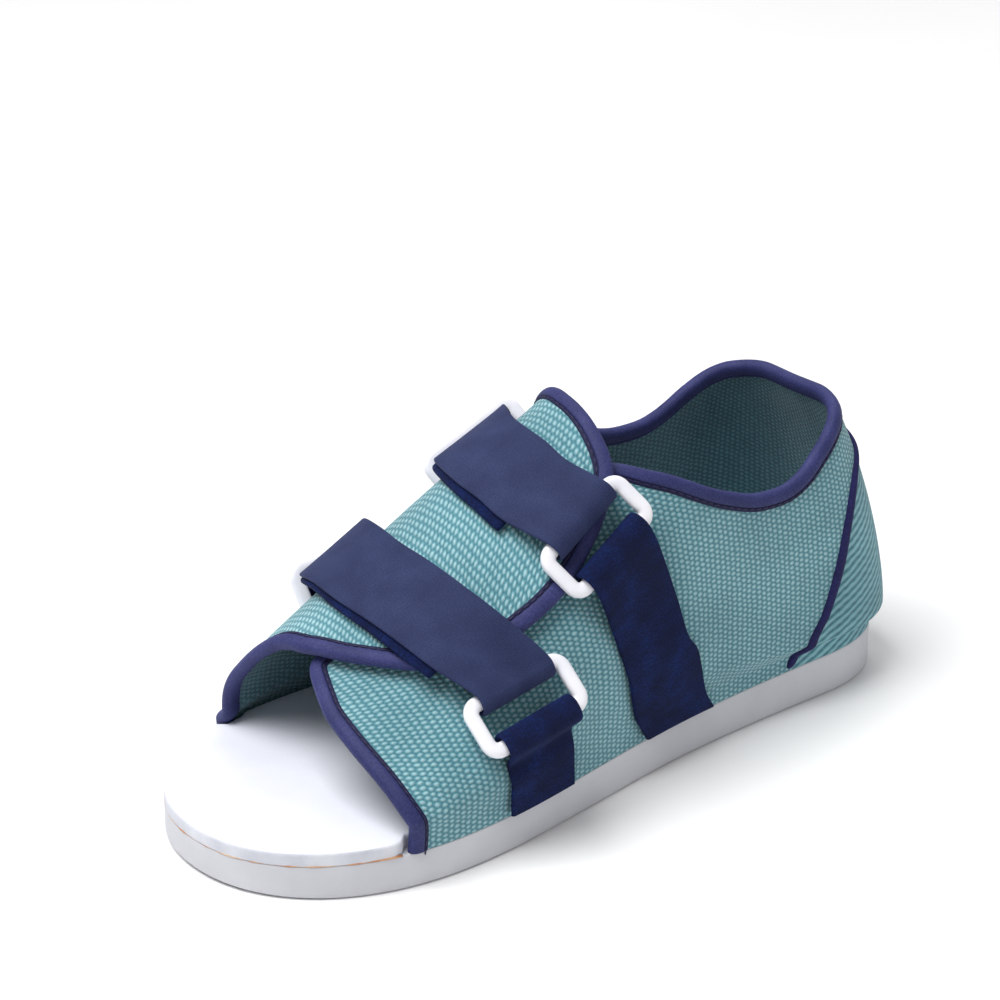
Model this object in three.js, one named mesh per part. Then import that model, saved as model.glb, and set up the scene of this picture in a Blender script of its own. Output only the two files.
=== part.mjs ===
// Post operative shoe for the left foot: a flat rocker sole with a footbed, an open toed mesh upper
// whose inner half folds over the instep as a flap, and two straps that run through plastic rings.
// Millimetres. Toe at -Y, heel at +Y, outer side of the left foot at +X, +Z up.
import * as THREE from 'three';

// Driving sizes of the sole
const LENGTH = 275;
const BALL_WIDTH = 108;
const HEEL_WIDTH = 78;
const WAIST_DIP = 2.9;
const TOE_CAP = { length: 69, power: 2.14 };
const HEEL_CAP = { length: 42, power: 2.47 };
const OUTSOLE = { toe: 11.5, heel: 15.8, edge: 1.6, rocker: 34, spring: 0.8 };
const FOOTBED = { thickness: 4.4, edge: 0.8 };
const NARROWEST = 2.2;

// Distances from the toe opening's edge to the steps of the footbed's notch for the binding.
const NOTCH = { corner: 4.4, wall: 1.4, past: 2, back: 4 };

// Driving sizes of the upper, its tapes and its rings
const GAP = 0.3;
const WALL = 2.4;
const BINDING = { thickness: 0.5, reach: 4.2, crown: 0.5, room: 0.8 };
const PIPING = { width: 4.2, height: 1.1, lift: 0.8 };
const STRAP = { width: 28.5, hook: 1.2, pile: 2, plush: 1.6, shift: 3, endShift: 1 };
const RING = { long: 41, short: 21, bar: 5, thickness: 3.6, corner: 6, bevel: 1, play: 1 };
const RIDE = 10;
const CURL_ROOM = 0.85;
const FLAP_ROOM = 0.4;
const PLUSH_REST = 1.2;

const FLAP_LIFT = WALL + 2 * (BINDING.thickness + BINDING.room) + FLAP_ROOM;
const BED_ROOM = FOOTBED.thickness + 2 * GAP;
const HALF = LENGTH / 2;
const TOE_END = -HALF + TOE_CAP.length;
const HEEL_START = HALF - HEEL_CAP.length;

// Angles run around a section: below 0 the wall drops to the sole on the outer side, 90 is the
// crest of the instep, and past 180 the wall drops to the sole on the inner side.
const FOOT_ANGLE = 30;
const CREST = 90;
const INNER_SIDE = 180;

// Sections of the last. share is of the length from the toe. outer, inner are what the widest
// line adds to the sole's edge, and lean how far out the crest lies, as shares of the ball width.
// rise is the widest line's height over the sole and crest the top's over the floor, as shares of
// the length. outerPower, innerPower shape each side.
const SECTION_COLUMNS = ['share', 'outer', 'inner', 'rise', 'crest', 'lean', 'outerPower', 'innerPower'];
const SECTIONS = [
  [0.12, 0.005, -0.023, 0.033, 0.149, -0.13, 1.6, 2.1],
  [0.17, 0.005, -0.037, 0.036, 0.180, -0.102, 1.55, 2.1],
  [0.30, 0.005, -0.018, 0.047, 0.253, -0.111, 1.7, 2.0],
  [0.43, 0, -0.023, 0.058, 0.338, -0.083, 2.0, 2.0],
  [0.55, 0.009, -0.022, 0.065, 0.404, -0.028, 2.2, 2.1],
  [0.65, 0.028, 0, 0.058, 0.465, -0.009, 2.25, 2.2],
  [0.78, 0.042, 0.023, 0.04, 0.473, 0, 2.1, 2.1],
  [0.88, 0.046, 0.042, 0.033, 0.473, 0, 1.95, 1.95],
  [1, 0.037, 0.037, 0.029, 0.473, 0, 1.3, 1.3],
].map((row) => Object.fromEntries(row.map((value, i) => [SECTION_COLUMNS[i], value])));

// Toe opening: where the front edge of each side lies, around the section.
const OUTER_FRONT = [
  { around: -30, share: 0.171 },
  { around: -5, share: 0.173 },
  { around: 12, share: 0.166 },
  { around: 28, share: 0.162 },
  { around: 46, share: 0.159 },
  { around: 61, share: 0.162 },
  { around: 71, share: 0.173 },
  { around: 86, share: 0.194 },
];
const INNER_FRONT = [
  { around: 86, share: 0.195 },
  { around: 102, share: 0.191 },
  { around: 114, share: 0.182 },
  { around: 135, share: 0.172 },
  { around: 160, share: 0.168 },
  { around: 210, share: 0.171 },
];

// Top edge of the outer half, which runs back under the flap and becomes the collar.
const OUTER_TOP = [
  { share: 0.15, around: 86 },
  { share: 0.3, around: 79 },
  { share: 0.44, around: 75 },
  { share: 0.51, around: 71 },
  { share: 0.554, around: 61 },
  { share: 0.588, around: 49.5 },
  { share: 0.646, around: 37 },
  { share: 0.69, around: 32.9 },
  { share: 0.735, around: 31 },
  { share: 0.775, around: 31.4 },
  { share: 0.81, around: 33.6 },
  { share: 0.847, around: 38.6 },
];

// Top edge of the inner half: the flap's free edge across the instep, its tip and the collar.
const INNER_TOP = [
  { share: 0.16, around: 91 },
  { share: 0.195, around: 86 },
  { share: 0.212, around: 73.4 },
  { share: 0.233, around: 63.9 },
  { share: 0.261, around: 54.7 },
  { share: 0.3, around: 47.5 },
  { share: 0.34, around: 43.8 },
  { share: 0.373, around: 42.3 },
  { share: 0.41, around: 41.5 },
  { share: 0.441, around: 42.5 },
  { share: 0.49, around: 47.5 },
  { share: 0.52, around: 53 },
  { share: 0.544, around: 60.2 },
  { share: 0.557, around: 74 },
  { share: 0.568, around: 92 },
  { share: 0.585, around: 118 },
  { share: 0.61, around: 134 },
  { share: 0.646, around: 143 },
  { share: 0.69, around: 147.1 },
  { share: 0.735, around: 149 },
  { share: 0.775, around: 148.6 },
  { share: 0.81, around: 146.4 },
  { share: 0.847, around: 141.4 },
];

// Collar around the heel, from the outer side at turn 0 to the inner side at turn 180.
const HEEL_TOP = [
  { turn: 0, around: 38.6 },
  { turn: 15, around: 43.2 },
  { turn: 30, around: 47.2 },
  { turn: 60, around: 52.6 },
  { turn: 90, around: 54 },
  { turn: 120, around: 52.6 },
  { turn: 150, around: 47.2 },
  { turn: 165, around: 43.2 },
  { turn: 180, around: 38.6 },
];

// Seam pipings of the heel panel, from the sole up to their meeting point behind the heel. run is
// the way along the shoe and round the heel from where its round begins, as a share of its width.
const PIPING_LINE = [
  { around: -27, run: -0.2026 },
  { around: -13, run: -0.1679 },
  { around: 0, run: -0.1256 },
  { around: 4.8, run: -0.0538 },
  { around: 13, run: 0.0256 },
  { around: 22, run: 0.0962 },
  { around: 32, run: 0.209 },
  { around: 42, run: 0.4795 },
  { around: 46, run: 0.7154 },
];

// Each strap: its middle line around the foot, the places of its two rings and the heights at
// which the bundle of tapes rides between them. span is a share of the way between the rings,
// and each lift is a share of the full ride.
const STRAPS = [
  {
    name: 'front',
    line: [
      { around: -30, share: 0.352 },
      { around: 0, share: 0.35 },
      { around: 24, share: 0.3385 },
      { around: 45, share: 0.318 },
      { around: 64, share: 0.303 },
      { around: 86, share: 0.296 },
      { around: 112, share: 0.309 },
      { around: 140, share: 0.34 },
      { around: 161, share: 0.379 },
      { around: 210, share: 0.396 },
    ],
    outerRing: { around: 24.5, lift: 0.52, tilt: -7 },
    innerRing: { around: 161, lift: 1.13, lean: 43 },
    ride: [
      { span: 0.2, lift: 0.96 },
      { span: 0.33, lift: 1 },
      { span: 0.5, lift: 0.93 },
      { span: 0.75, lift: 0.92 },
    ],
  },
  {
    name: 'back',
    line: [
      { around: -30, share: 0.597 },
      { around: 0, share: 0.56 },
      { around: 25, share: 0.525 },
      { around: 46, share: 0.492 },
      { around: 56, share: 0.477 },
      { around: 72, share: 0.464 },
      { around: 90, share: 0.465 },
      { around: 110, share: 0.487 },
      { around: 130, share: 0.529 },
      { around: 142, share: 0.558 },
      { around: 165, share: 0.585 },
      { around: 210, share: 0.617 },
    ],
    outerRing: { around: 47, lift: 0.92, tilt: 8 },
    innerRing: { around: 144, lift: 1.3, lean: 29 },
    ride: [
      { span: 0.24, lift: 0.98 },
      { span: 0.4, lift: 0.94 },
      { span: 0.6, lift: 0.91 },
      { span: 0.8, lift: 0.99 },
    ],
  },
];

const COLORS = {
  mesh: 0x7fb3bb,
  binding: 0x40437a,
  hook: 0x3b4370,
  plush: 0x0c1a4c,
  ring: 0xf4f4fa,
  outsole: 0xc9c9d0,
  footbed: 0xf2f2f5,
};

function material(color, roughness) {
  return new THREE.MeshStandardMaterial({ color, roughness, metalness: 0 });
}

const materials = {
  mesh: material(COLORS.mesh, 0.9),
  binding: material(COLORS.binding, 0.7),
  hook: material(COLORS.hook, 0.75),
  plush: material(COLORS.plush, 0.95),
  ring: material(COLORS.ring, 0.35),
  outsole: material(COLORS.outsole, 0.6),
  footbed: material(COLORS.footbed, 0.7),
};

const radians = THREE.MathUtils.degToRad;
const clamp = THREE.MathUtils.clamp;
const mix = THREE.MathUtils.lerp;
const ease = (value, from, to) => THREE.MathUtils.smoothstep(value, from, to);
const spaced = (count, from, to) => Array.from({ length: count }, (_, i) => mix(from, to, i / (count - 1)));

// A smooth curve through the rows of a table that never swings past a row.
function curve(rows, by) {
  const keys = rows.map((row) => row[by]);
  const slopesOf = (values) => {
    const steps = keys.slice(1).map((key, i) => (values[i + 1] - values[i]) / (key - keys[i]));
    return keys.map((_, i) => {
      const before = steps[Math.max(i - 1, 0)];
      const after = steps[Math.min(i, steps.length - 1)];
      return before * after <= 0 ? 0 : (2 * before * after) / (before + after);
    });
  };
  const columns = Object.keys(rows[0]).filter((name) => typeof rows[0][name] === 'number');
  const slopes = Object.fromEntries(columns.map((name) => [name, slopesOf(rows.map((row) => row[name]))]));
  return (at, name) => {
    const x = clamp(at, keys[0], keys[keys.length - 1]);
    let i = 0;
    while (i < keys.length - 2 && x > keys[i + 1]) i += 1;
    const step = keys[i + 1] - keys[i];
    const t = (x - keys[i]) / step;
    const bend = t * t * (3 - 2 * t);
    const start = t * (1 - t) * (1 - t) * step * slopes[name][i];
    const end = t * t * (t - 1) * step * slopes[name][i + 1];
    return mix(rows[i][name], rows[i + 1][name], bend) + start + end;
  };
}

const section = curve(SECTIONS, 'share');
const shareAt = (y) => (y + HALF) / LENGTH;
const lengthAt = (share) => share * LENGTH - HALF;

// Half width of the sole at a place along it.
function soleHalf(y) {
  if (y < TOE_END) {
    const t = clamp((TOE_END - y) / TOE_CAP.length, 0, 1);
    return (BALL_WIDTH / 2) * (1 - t ** TOE_CAP.power) ** (1 / TOE_CAP.power);
  }
  if (y > HEEL_START) {
    const t = clamp((y - HEEL_START) / HEEL_CAP.length, 0, 1);
    return (HEEL_WIDTH / 2) * (1 - t ** HEEL_CAP.power) ** (1 / HEEL_CAP.power);
  }
  const s = (y - TOE_END) / (HEEL_START - TOE_END);
  const taper = mix(BALL_WIDTH, HEEL_WIDTH, s * s * (3 - 2 * s)) / 2;
  return taper - WAIST_DIP * Math.sin(Math.PI * s) ** 2;
}

const soleTop = (y) => mix(OUTSOLE.toe, OUTSOLE.heel, shareAt(clamp(y, -HALF, HALF)));

function soleBottom(y) {
  const t = Math.max(0, (-HALF + OUTSOLE.rocker - y) / OUTSOLE.rocker);
  return OUTSOLE.spring * t * t;
}

// Distance out and height of the wall at an angle of its section. It stands straight beside the
// footbed and only then leans out or in.
function wallPoint(angle, foot, edge, reach, share, lean, power) {
  const rise = section(share, 'rise') * LENGTH;
  const crest = section(share, 'crest') * LENGTH;
  const widest = foot + rise;
  if (angle < 0) {
    const z = widest + (rise * angle) / FOOT_ANGLE;
    return [edge + reach * ease(z, foot + BED_ROOM, widest), z];
  }
  const out = Math.cos(radians(angle)) ** (2 / power);
  const up = Math.sin(radians(angle)) ** (2 / power);
  return [(edge + reach - lean) * out + lean, widest + (crest - widest) * up];
}

// A point of the last beside the foot.
function sidePoint(y, around) {
  const share = shareAt(y);
  const outer = around <= CREST;
  const side = outer ? 1 : -1;
  const angle = outer ? around : INNER_SIDE - around;
  const reach = section(share, outer ? 'outer' : 'inner') * BALL_WIDTH;
  const lean = side * section(share, 'lean') * BALL_WIDTH;
  const power = section(share, outer ? 'outerPower' : 'innerPower');
  const [out, z] = wallPoint(Math.min(angle, CREST), soleTop(y), soleHalf(y), reach, share, lean, power);
  return new THREE.Vector3(side * out, y, z);
}

// A point of the last around the heel.
function heelPoint(turn, around) {
  const psi = radians(turn);
  const n = HEEL_CAP.power;
  const wide = (Math.abs(Math.cos(psi)) / (HEEL_WIDTH / 2)) ** n;
  const deep = (Math.abs(Math.sin(psi)) / HEEL_CAP.length) ** n;
  const edge = (wide + deep) ** (-1 / n);
  const share = shareAt(HEEL_START + HEEL_CAP.length * Math.abs(Math.sin(psi)));
  const reach = section(share, turn < CREST ? 'outer' : 'inner') * BALL_WIDTH;
  const foot = soleTop(HEEL_START + edge * Math.sin(psi));
  const [out, z] = wallPoint(around, foot, edge, reach, share, 0, section(share, 'outerPower'));
  return new THREE.Vector3(out * Math.cos(psi), HEEL_START + out * Math.sin(psi), z);
}

const SMALL = 0.25;
const NEAR = 1;

// Normal of a surface from two of its tangents, which are taken by small steps.
function normalOf(surface, a, b, flip) {
  const alongA = surface(a + SMALL, b).sub(surface(a - SMALL, b));
  const alongB = surface(a, b + SMALL).sub(surface(a, b - SMALL));
  return alongA.cross(alongB).multiplyScalar(flip).normalize();
}

// Steps in a surface's two coordinates that make a small move along it.
function stepsFor(surface, a, b, move) {
  const perA = surface(a + SMALL, b, 0).sub(surface(a - SMALL, b, 0)).divideScalar(2 * SMALL);
  const perB = surface(a, b + SMALL, 0).sub(surface(a, b - SMALL, 0)).divideScalar(2 * SMALL);
  const [aa, ab, bb] = [perA.dot(perA), perA.dot(perB), perB.dot(perB)];
  const [ma, mb] = [move.dot(perA), move.dot(perB)];
  const cross = aa * bb - ab * ab;
  return [(ma * bb - mb * ab) / cross, (mb * aa - ma * ab) / cross];
}

function onSide(y, around, lift = 0) {
  const bent = clamp(around, -FOOT_ANGLE + SMALL, INNER_SIDE + FOOT_ANGLE - SMALL);
  return sidePoint(y, around).addScaledVector(normalOf(sidePoint, y, bent, 1), lift);
}

function onHeel(turn, around, lift = 0) {
  const bent = Math.max(around, -FOOT_ANGLE + SMALL);
  return heelPoint(turn, around).addScaledVector(normalOf(heelPoint, turn, bent, 1), lift);
}

// A closed solid from two facing grids of points, with its faces turned outwards.
function solid(front, back) {
  const rows = front.length;
  const columns = front[0].length;
  const points = [...front.flat(), ...back.flat()];
  const at = (i, j) => i * columns + j;
  const under = (i, j) => rows * columns + at(i, j);
  const index = [];
  const quad = (a, b, c, d) => index.push(a, b, c, a, c, d);
  for (let i = 0; i < rows - 1; i += 1) {
    for (let j = 0; j < columns - 1; j += 1) {
      quad(at(i, j), at(i + 1, j), at(i + 1, j + 1), at(i, j + 1));
      quad(under(i, j), under(i, j + 1), under(i + 1, j + 1), under(i + 1, j));
    }
  }
  for (let i = 0; i < rows - 1; i += 1) {
    quad(at(i, 0), under(i, 0), under(i + 1, 0), at(i + 1, 0));
    quad(at(i, columns - 1), at(i + 1, columns - 1), under(i + 1, columns - 1), under(i, columns - 1));
  }
  for (let j = 0; j < columns - 1; j += 1) {
    quad(at(0, j), at(0, j + 1), under(0, j + 1), under(0, j));
    quad(at(rows - 1, j), under(rows - 1, j), under(rows - 1, j + 1), at(rows - 1, j + 1));
  }
  let volume = 0;
  for (let i = 0; i < index.length; i += 3) {
    const [a, b, c] = [points[index[i]], points[index[i + 1]], points[index[i + 2]]];
    volume += a.dot(b.clone().cross(c));
  }
  if (volume < 0) index.reverse();
  const geometry = new THREE.BufferGeometry().setFromPoints(points);
  geometry.setIndex(index);
  geometry.computeVertexNormals();
  return geometry;
}

// A closed solid lofted through closed loops of points, with flat ends.
function loft(loops) {
  const size = loops[0].length;
  const half = size / 2;
  const front = loops.map((loop) => loop.slice(0, half));
  const back = loops.map((loop) => loop.slice(half).reverse());
  return solid(front, back);
}

// A place on the round end of the sole's edge, at a turn from the end's tip.
function capPlace(start, cap, width, turn) {
  const { length, power } = cap;
  const along = Math.cos(turn) ** (2 / power);
  const across = Math.sin(turn) ** (2 / power);
  const normal = new THREE.Vector2(across ** (power - 1) / width, along ** (power - 1) / Math.abs(length));
  normal.y *= Math.sign(start);
  return { y: start + Math.sign(start) * length * along, half: width * across, normal: normal.normalize() };
}

// The sole's edge on one side, from the toe's tip to the heel's, closer together at the ends.
const END_TURNS = [0, 3, 8, 15, 23, 32, 42, 53, 65, 78];
const MIDDLE_PLACES = 15;

function soleEdge() {
  const turns = END_TURNS.map(radians);
  const toe = turns.map((turn) => capPlace(TOE_END, TOE_CAP, BALL_WIDTH / 2, turn));
  const heel = turns.map((turn) => capPlace(HEEL_START, HEEL_CAP, HEEL_WIDTH / 2, turn)).reverse();
  const middle = spaced(MIDDLE_PLACES, TOE_END, HEEL_START).map((y) => {
    const slope = (soleHalf(y + NEAR) - soleHalf(y - NEAR)) / (2 * NEAR);
    return { y, half: soleHalf(y), normal: new THREE.Vector2(1, -slope).normalize() };
  });
  return [...toe, ...middle, ...heel];
}

// A slab of the sole between two heights, set in from the sole's edge.
function slab(edge, inset, bottom, top, outline) {
  const loops = edge.map(({ y, half, normal }) => {
    const within = inset(y);
    const place = y - normal.y * within;
    const wide = Math.max(half - normal.x * within, NARROWEST);
    const side = outline(wide, bottom(place), top(place));
    const other = side.map(([x, z]) => [-x, z]).reverse();
    return [...other, ...side].map(([x, z]) => new THREE.Vector3(x, place, z));
  });
  return loft(loops);
}

function outsole() {
  const outline = (wide, low, top) => {
    const trim = Math.min(OUTSOLE.edge, wide / 2);
    return [[wide - GAP, top], [wide, top - GAP], [wide, low + OUTSOLE.edge], [wide - trim, low]];
  };
  return slab(soleEdge(), () => 0, soleBottom, soleTop, outline);
}

// The footbed reaches the sole's edge in the open toe, steps in past the toe binding's two legs
// and then lies inside the wall.
const TOE_EDGE = lengthAt(OUTER_FRONT[0].share);
const INSET = WALL + 2 * GAP;
const INSET_PAST_BINDING = WALL + BINDING.room + BINDING.thickness + 2 * GAP;
const INSETS = [
  { y: TOE_EDGE - NOTCH.corner, inset: 0 },
  { y: TOE_EDGE - NOTCH.wall, inset: INSET_PAST_BINDING },
  { y: TOE_EDGE + BINDING.reach + NOTCH.past, inset: INSET_PAST_BINDING },
  { y: TOE_EDGE + BINDING.reach + NOTCH.back, inset: INSET },
];

function footbed() {
  const { thickness, edge } = FOOTBED;
  const outline = (wide, low, top) => {
    const trim = Math.min(edge, wide / 2);
    return [[wide - trim, top], [wide, top - edge], [wide, (low + top) / 2], [wide, low]];
  };
  const inset = curve(INSETS, 'y');
  const steps = INSETS.map(({ y }) => ({ y, half: soleHalf(y), normal: new THREE.Vector2(1, 0) }));
  const [first, final] = [INSETS[0].y, INSETS[INSETS.length - 1].y];
  const others = soleEdge().filter(({ y }) => y < first - NEAR || y > final + NEAR);
  const edges = [...steps, ...others].sort((a, b) => a.y - b.y);
  const low = (y) => soleTop(y) + GAP;
  return slab(edges, (y) => inset(y, 'inset'), low, (y) => low(y) + thickness, outline);
}

// The upper is one sheet: outer half from the toe opening to the heel, around it, and the inner
// half back to the toe opening, carried on over the crest as the flap.
const outerFront = curve(OUTER_FRONT, 'around');
const innerFront = curve(INNER_FRONT, 'around');
const outerTop = curve(OUTER_TOP, 'share');
const innerTop = curve(INNER_TOP, 'share');
const heelTop = curve(HEEL_TOP, 'turn');
const LIFT_START = 145;
const LIFT_FULL = 88;
const ROWS = 18;
const SIDE_COLUMNS = 15;
const HEEL_COLUMNS = 13;
const TOP_PASSES = 8;

const flapLift = (around) => FLAP_LIFT * (1 - ease(around, LIFT_FULL, LIFT_START));

// Columns crowd toward the toe opening and, on the inner side, toward the flap's tip.
const outerShares = spaced(SIDE_COLUMNS, 0, 1);
const innerShares = [
  ...[0, 0.02, 0.045, 0.08, 0.13, 0.19, 0.26, 0.34],
  ...spaced(4, 0.4, 0.52),
  ...[0.545, 0.555, 0.563, 0.571, 0.579, 0.587, 0.597, 0.61, 0.63],
  ...spaced(4, 0.67, 0.82),
  0.9,
  1,
];

// The inner half rises over the outer half as the flap.
const SURFACES = {
  outer: onSide,
  inner: (y, around, lift) => onSide(y, around, lift + flapLift(around)),
  heel: onHeel,
};

// Places up one column of the sheet. Each holds its surface and its two coordinates there.
function columnOf({ side, column }) {
  const surface = SURFACES[side];
  if (side === 'heel') {
    const top = heelTop(column, 'around');
    return spaced(ROWS, -FOOT_ANGLE, top).map((around) => ({ surface, a: column, b: around }));
  }
  const outer = side === 'outer';
  const front = outer ? outerFront : innerFront;
  const topOf = outer ? outerTop : innerTop;
  const bottom = outer ? -FOOT_ANGLE : INNER_SIDE + FOOT_ANGLE;
  const yOf = (around) => mix(lengthAt(front(around, 'share')), HEEL_START, column);
  let top = topOf(shareAt(yOf(CREST)), 'around');
  for (let pass = 0; pass < TOP_PASSES; pass += 1) top = mix(top, topOf(shareAt(yOf(top)), 'around'), 0.5);
  return spaced(ROWS, bottom, top).map((around) => ({ surface, a: yOf(around), b: around }));
}

const columns = [
  ...outerShares.map((column) => ({ side: 'outer', column })),
  ...spaced(HEEL_COLUMNS, 0, INNER_SIDE).slice(1, -1).map((column) => ({ side: 'heel', column })),
  ...[...innerShares].reverse().map((column) => ({ side: 'inner', column })),
].map(columnOf);

const liftedTo = ({ surface, a, b }, lift) => surface(a, b, lift);

// The sheet stands just above the outsole, which closes it from below.
function sheet(lift) {
  const grid = columns.map((column) => column.map((place) => liftedTo(place, lift)));
  grid.forEach((column) => {
    column[0].z = soleTop(column[0].y) + GAP;
  });
  return grid;
}

// A tape folded over the sheet's edge: its two legs lie on the sheet's faces, as far in from the
// edge as it reaches, and its crown stands past the edge. behind holds a place inward of each.
function binding(edge, behind) {
  const { thickness, reach, crown, room } = BINDING;
  const middles = edge.map((place) => liftedTo(place, -WALL / 2));
  const loops = edge.map((place, i) => {
    const before = middles[Math.max(i - 1, 0)];
    const after = middles[Math.min(i + 1, middles.length - 1)];
    const along = after.clone().sub(before).normalize();
    const normal = liftedTo(place, 0).sub(liftedTo(place, -WALL));
    normal.addScaledVector(along, -normal.dot(along)).normalize();
    const past = along.clone().cross(normal).normalize();
    if (past.dot(middles[i].clone().sub(liftedTo(behind[i], -WALL / 2))) < 0) past.negate();
    const { surface, a, b } = place;
    const [stepA, stepB] = stepsFor(surface, a, b, past.clone().multiplyScalar(-reach));
    const back = { surface, a: a + stepA, b: b + stepB };
    const edgeAt = (lift) => liftedTo(place, lift).addScaledVector(past, room);
    const loopAt = (away, top) => [
      liftedTo(back, away),
      edgeAt(away),
      middles[i].clone().addScaledVector(past, top),
      edgeAt(-WALL - away),
      liftedTo(back, -WALL - away),
    ].map((point) => point.setZ(Math.max(point.z, soleTop(point.y) + GAP)));
    return { inside: loopAt(room, room), outside: loopAt(room + thickness, room + thickness + crown) };
  });
  return solid(loops.map(({ outside }) => outside), loops.map(({ inside }) => inside));
}

// A strip on the heel along the line of the table, and its mirror on the inner side.
const PIPING_STEPS = 15;
const PIPING_CROWDING = 0.8;
const PIPING_PROFILE = [[-0.5, 0.2], [-0.25, 1], [0.25, 1], [0.5, 0.2]];
const pipingLine = curve(PIPING_LINE, 'around');

function pipingPlace(around, across, lift, mirrored) {
  const run = pipingLine(around, 'run') * HEEL_WIDTH + across;
  const upTo = mirrored ? INNER_SIDE - around : around;
  if (run < 0) return onSide(HEEL_START + run, upTo, lift);
  const turn = THREE.MathUtils.radToDeg(run / (HEEL_WIDTH / 2));
  return onHeel(mirrored ? INNER_SIDE - turn : turn, around, lift);
}

function piping(mirrored) {
  const [low, high] = [PIPING_LINE[0].around, PIPING_LINE[PIPING_LINE.length - 1].around];
  const steps = spaced(PIPING_STEPS, 0, 1).map((part) => mix(low, high, part ** PIPING_CROWDING));
  const face = (height) => steps.map((around) => PIPING_PROFILE.map(([part, crown]) => (
    pipingPlace(around, part * PIPING.width, PIPING.lift + height * crown, mirrored))));
  return solid(face(PIPING.height), face(0));
}

// Rows across a strap are square to it above this angle, and level with the sole at its foot.
const SQUARE_FROM = 50;
const LINE_PLACES = 181;

// The middle line of a strap around the foot, followed by distance from one of its places. at()
// gives a point a distance along it, a distance across it toward the heel, and a lift.
function route(line, start) {
  const row = curve(line, 'around');
  const shareOn = (around) => row(around, 'share');
  const angles = spaced(LINE_PLACES, NEAR - FOOT_ANGLE, INNER_SIDE + FOOT_ANGLE - NEAR);
  const points = angles.map((around) => sidePoint(lengthAt(shareOn(around)), around));
  const distances = points.reduce((sums, point, i) => (
    i === 0 ? [0] : [...sums, sums[i - 1] + point.distanceTo(points[i - 1])]), []);
  const lookUp = (value, keys, values) => {
    const i = clamp(keys.findIndex((key) => key >= value), 1, keys.length - 1);
    return mix(values[i - 1], values[i], (value - keys[i - 1]) / (keys[i] - keys[i - 1]));
  };
  const zero = lookUp(start, angles, distances);
  const whole = distances[distances.length - 1];
  const angleAt = (distance) => lookUp(clamp(distance + zero, 0, whole), distances, angles);
  const distanceTo = (around) => lookUp(around, angles, distances) - zero;
  const at = (distance, across, lift) => {
    const around = angleAt(distance);
    const y = lengthAt(shareOn(around));
    const place = (a) => sidePoint(lengthAt(shareOn(a)), a);
    const along = place(around + NEAR).sub(place(around - NEAR)).normalize();
    const perY = sidePoint(y + SMALL, around).sub(sidePoint(y - SMALL, around));
    const perAngle = sidePoint(y, around + SMALL).sub(sidePoint(y, around - SMALL));
    const heelward = perY.cross(perAngle).normalize().cross(along).normalize();
    if (heelward.y < 0) heelward.negate();
    const [heelY, heelAngle] = stepsFor(sidePoint, y, around, heelward);
    const [alongY, alongAngle] = stepsFor(sidePoint, y, around, along);
    const fromSole = Math.min(around, INNER_SIDE - around) + FOOT_ANGLE;
    const square = ease(fromSole, 0, SQUARE_FROM);
    const levelY = heelY - (heelAngle * alongY) / alongAngle;
    const stepY = mix(levelY, heelY, square);
    return onSide(y + across * stepY, around + across * heelAngle * square, lift);
  };
  return { at, distanceTo };
}

// Directions on a strap's line: along it, across it toward the heel, and away from the foot.
function frameAt(way, distance, lift) {
  const origin = way.at(distance, 0, lift);
  const across = way.at(distance, NEAR, lift).sub(way.at(distance, -NEAR, lift)).normalize();
  const along = way.at(distance + NEAR, 0, lift).sub(way.at(distance - NEAR, 0, lift));
  along.addScaledVector(across, -along.dot(across)).normalize();
  const away = across.clone().cross(along).normalize();
  if (away.dot(way.at(distance, 0, lift + NEAR).sub(origin)) < 0) away.negate();
  return { origin, across, along, away };
}

// A ring's own directions: short lies from its lower bar to its upper bar, through is its axis.
function ringFrame(way, distance, lift, turn) {
  const { origin, across, along, away } = frameAt(way, distance, lift);
  const t = radians(turn);
  const short = along.clone().multiplyScalar(Math.cos(t)).addScaledVector(away, Math.sin(t));
  const through = away.clone().multiplyScalar(Math.cos(t)).addScaledVector(along, -Math.sin(t));
  const at = (x, z, w) => {
    const point = origin.clone().addScaledVector(short, x);
    return point.addScaledVector(through, z).addScaledVector(across, w);
  };
  return { origin, across, short, through, at };
}

// Rows of points across a tape, along smooth lines through its controls. Each control gives the
// point at a distance across the tape.
const ACROSS = [-0.5, -0.17, 0.17, 0.5];
const STEPS_BETWEEN = 2;

function tapeRows(controls, shift = () => 0) {
  const lines = ACROSS.map((part) => {
    const points = controls.map((control, i) => control(part * STRAP.width + shift(i)));
    const line = new THREE.CatmullRomCurve3(points, false, 'centripetal');
    return line.getPoints(STEPS_BETWEEN * (controls.length - 1));
  });
  return lines[0].map((_, i) => lines.map((points) => points[i]));
}

// A tape between two offsets from its rows. An offset is away from the foot where it lies on it.
function tape(rows, under, over) {
  const face = (offset) => rows.map((row, i) => row.map((point, j) => {
    const before = rows[Math.max(i - 1, 0)][j];
    const after = rows[Math.min(i + 1, rows.length - 1)][j];
    const toeward = row[Math.max(j - 1, 0)];
    const heelward = row[Math.min(j + 1, row.length - 1)];
    const normal = heelward.clone().sub(toeward).cross(after.clone().sub(before)).normalize();
    return point.clone().addScaledVector(normal, offset);
  }));
  return solid(face(over), face(under));
}

// Controls of a tape folded around a ring's bar: from its hidden end under the bar, up through
// the window and over the bar. toward is 1 or -1, the window's side in the ring's short direction.
const CURL_TURNS = [-110, -65, -20, 25, 70];

function curl(frame, bar, thickness, toward, lastTurn) {
  const rx = RING.bar / 2 + CURL_ROOM + thickness / 2;
  const rz = RING.thickness / 2 + CURL_ROOM + thickness / 2;
  return [...CURL_TURNS, lastTurn].map((turn) => (w) => frame.at(
    bar + toward * rx * Math.cos(radians(turn)), rz * Math.sin(radians(turn)), w));
}

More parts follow.
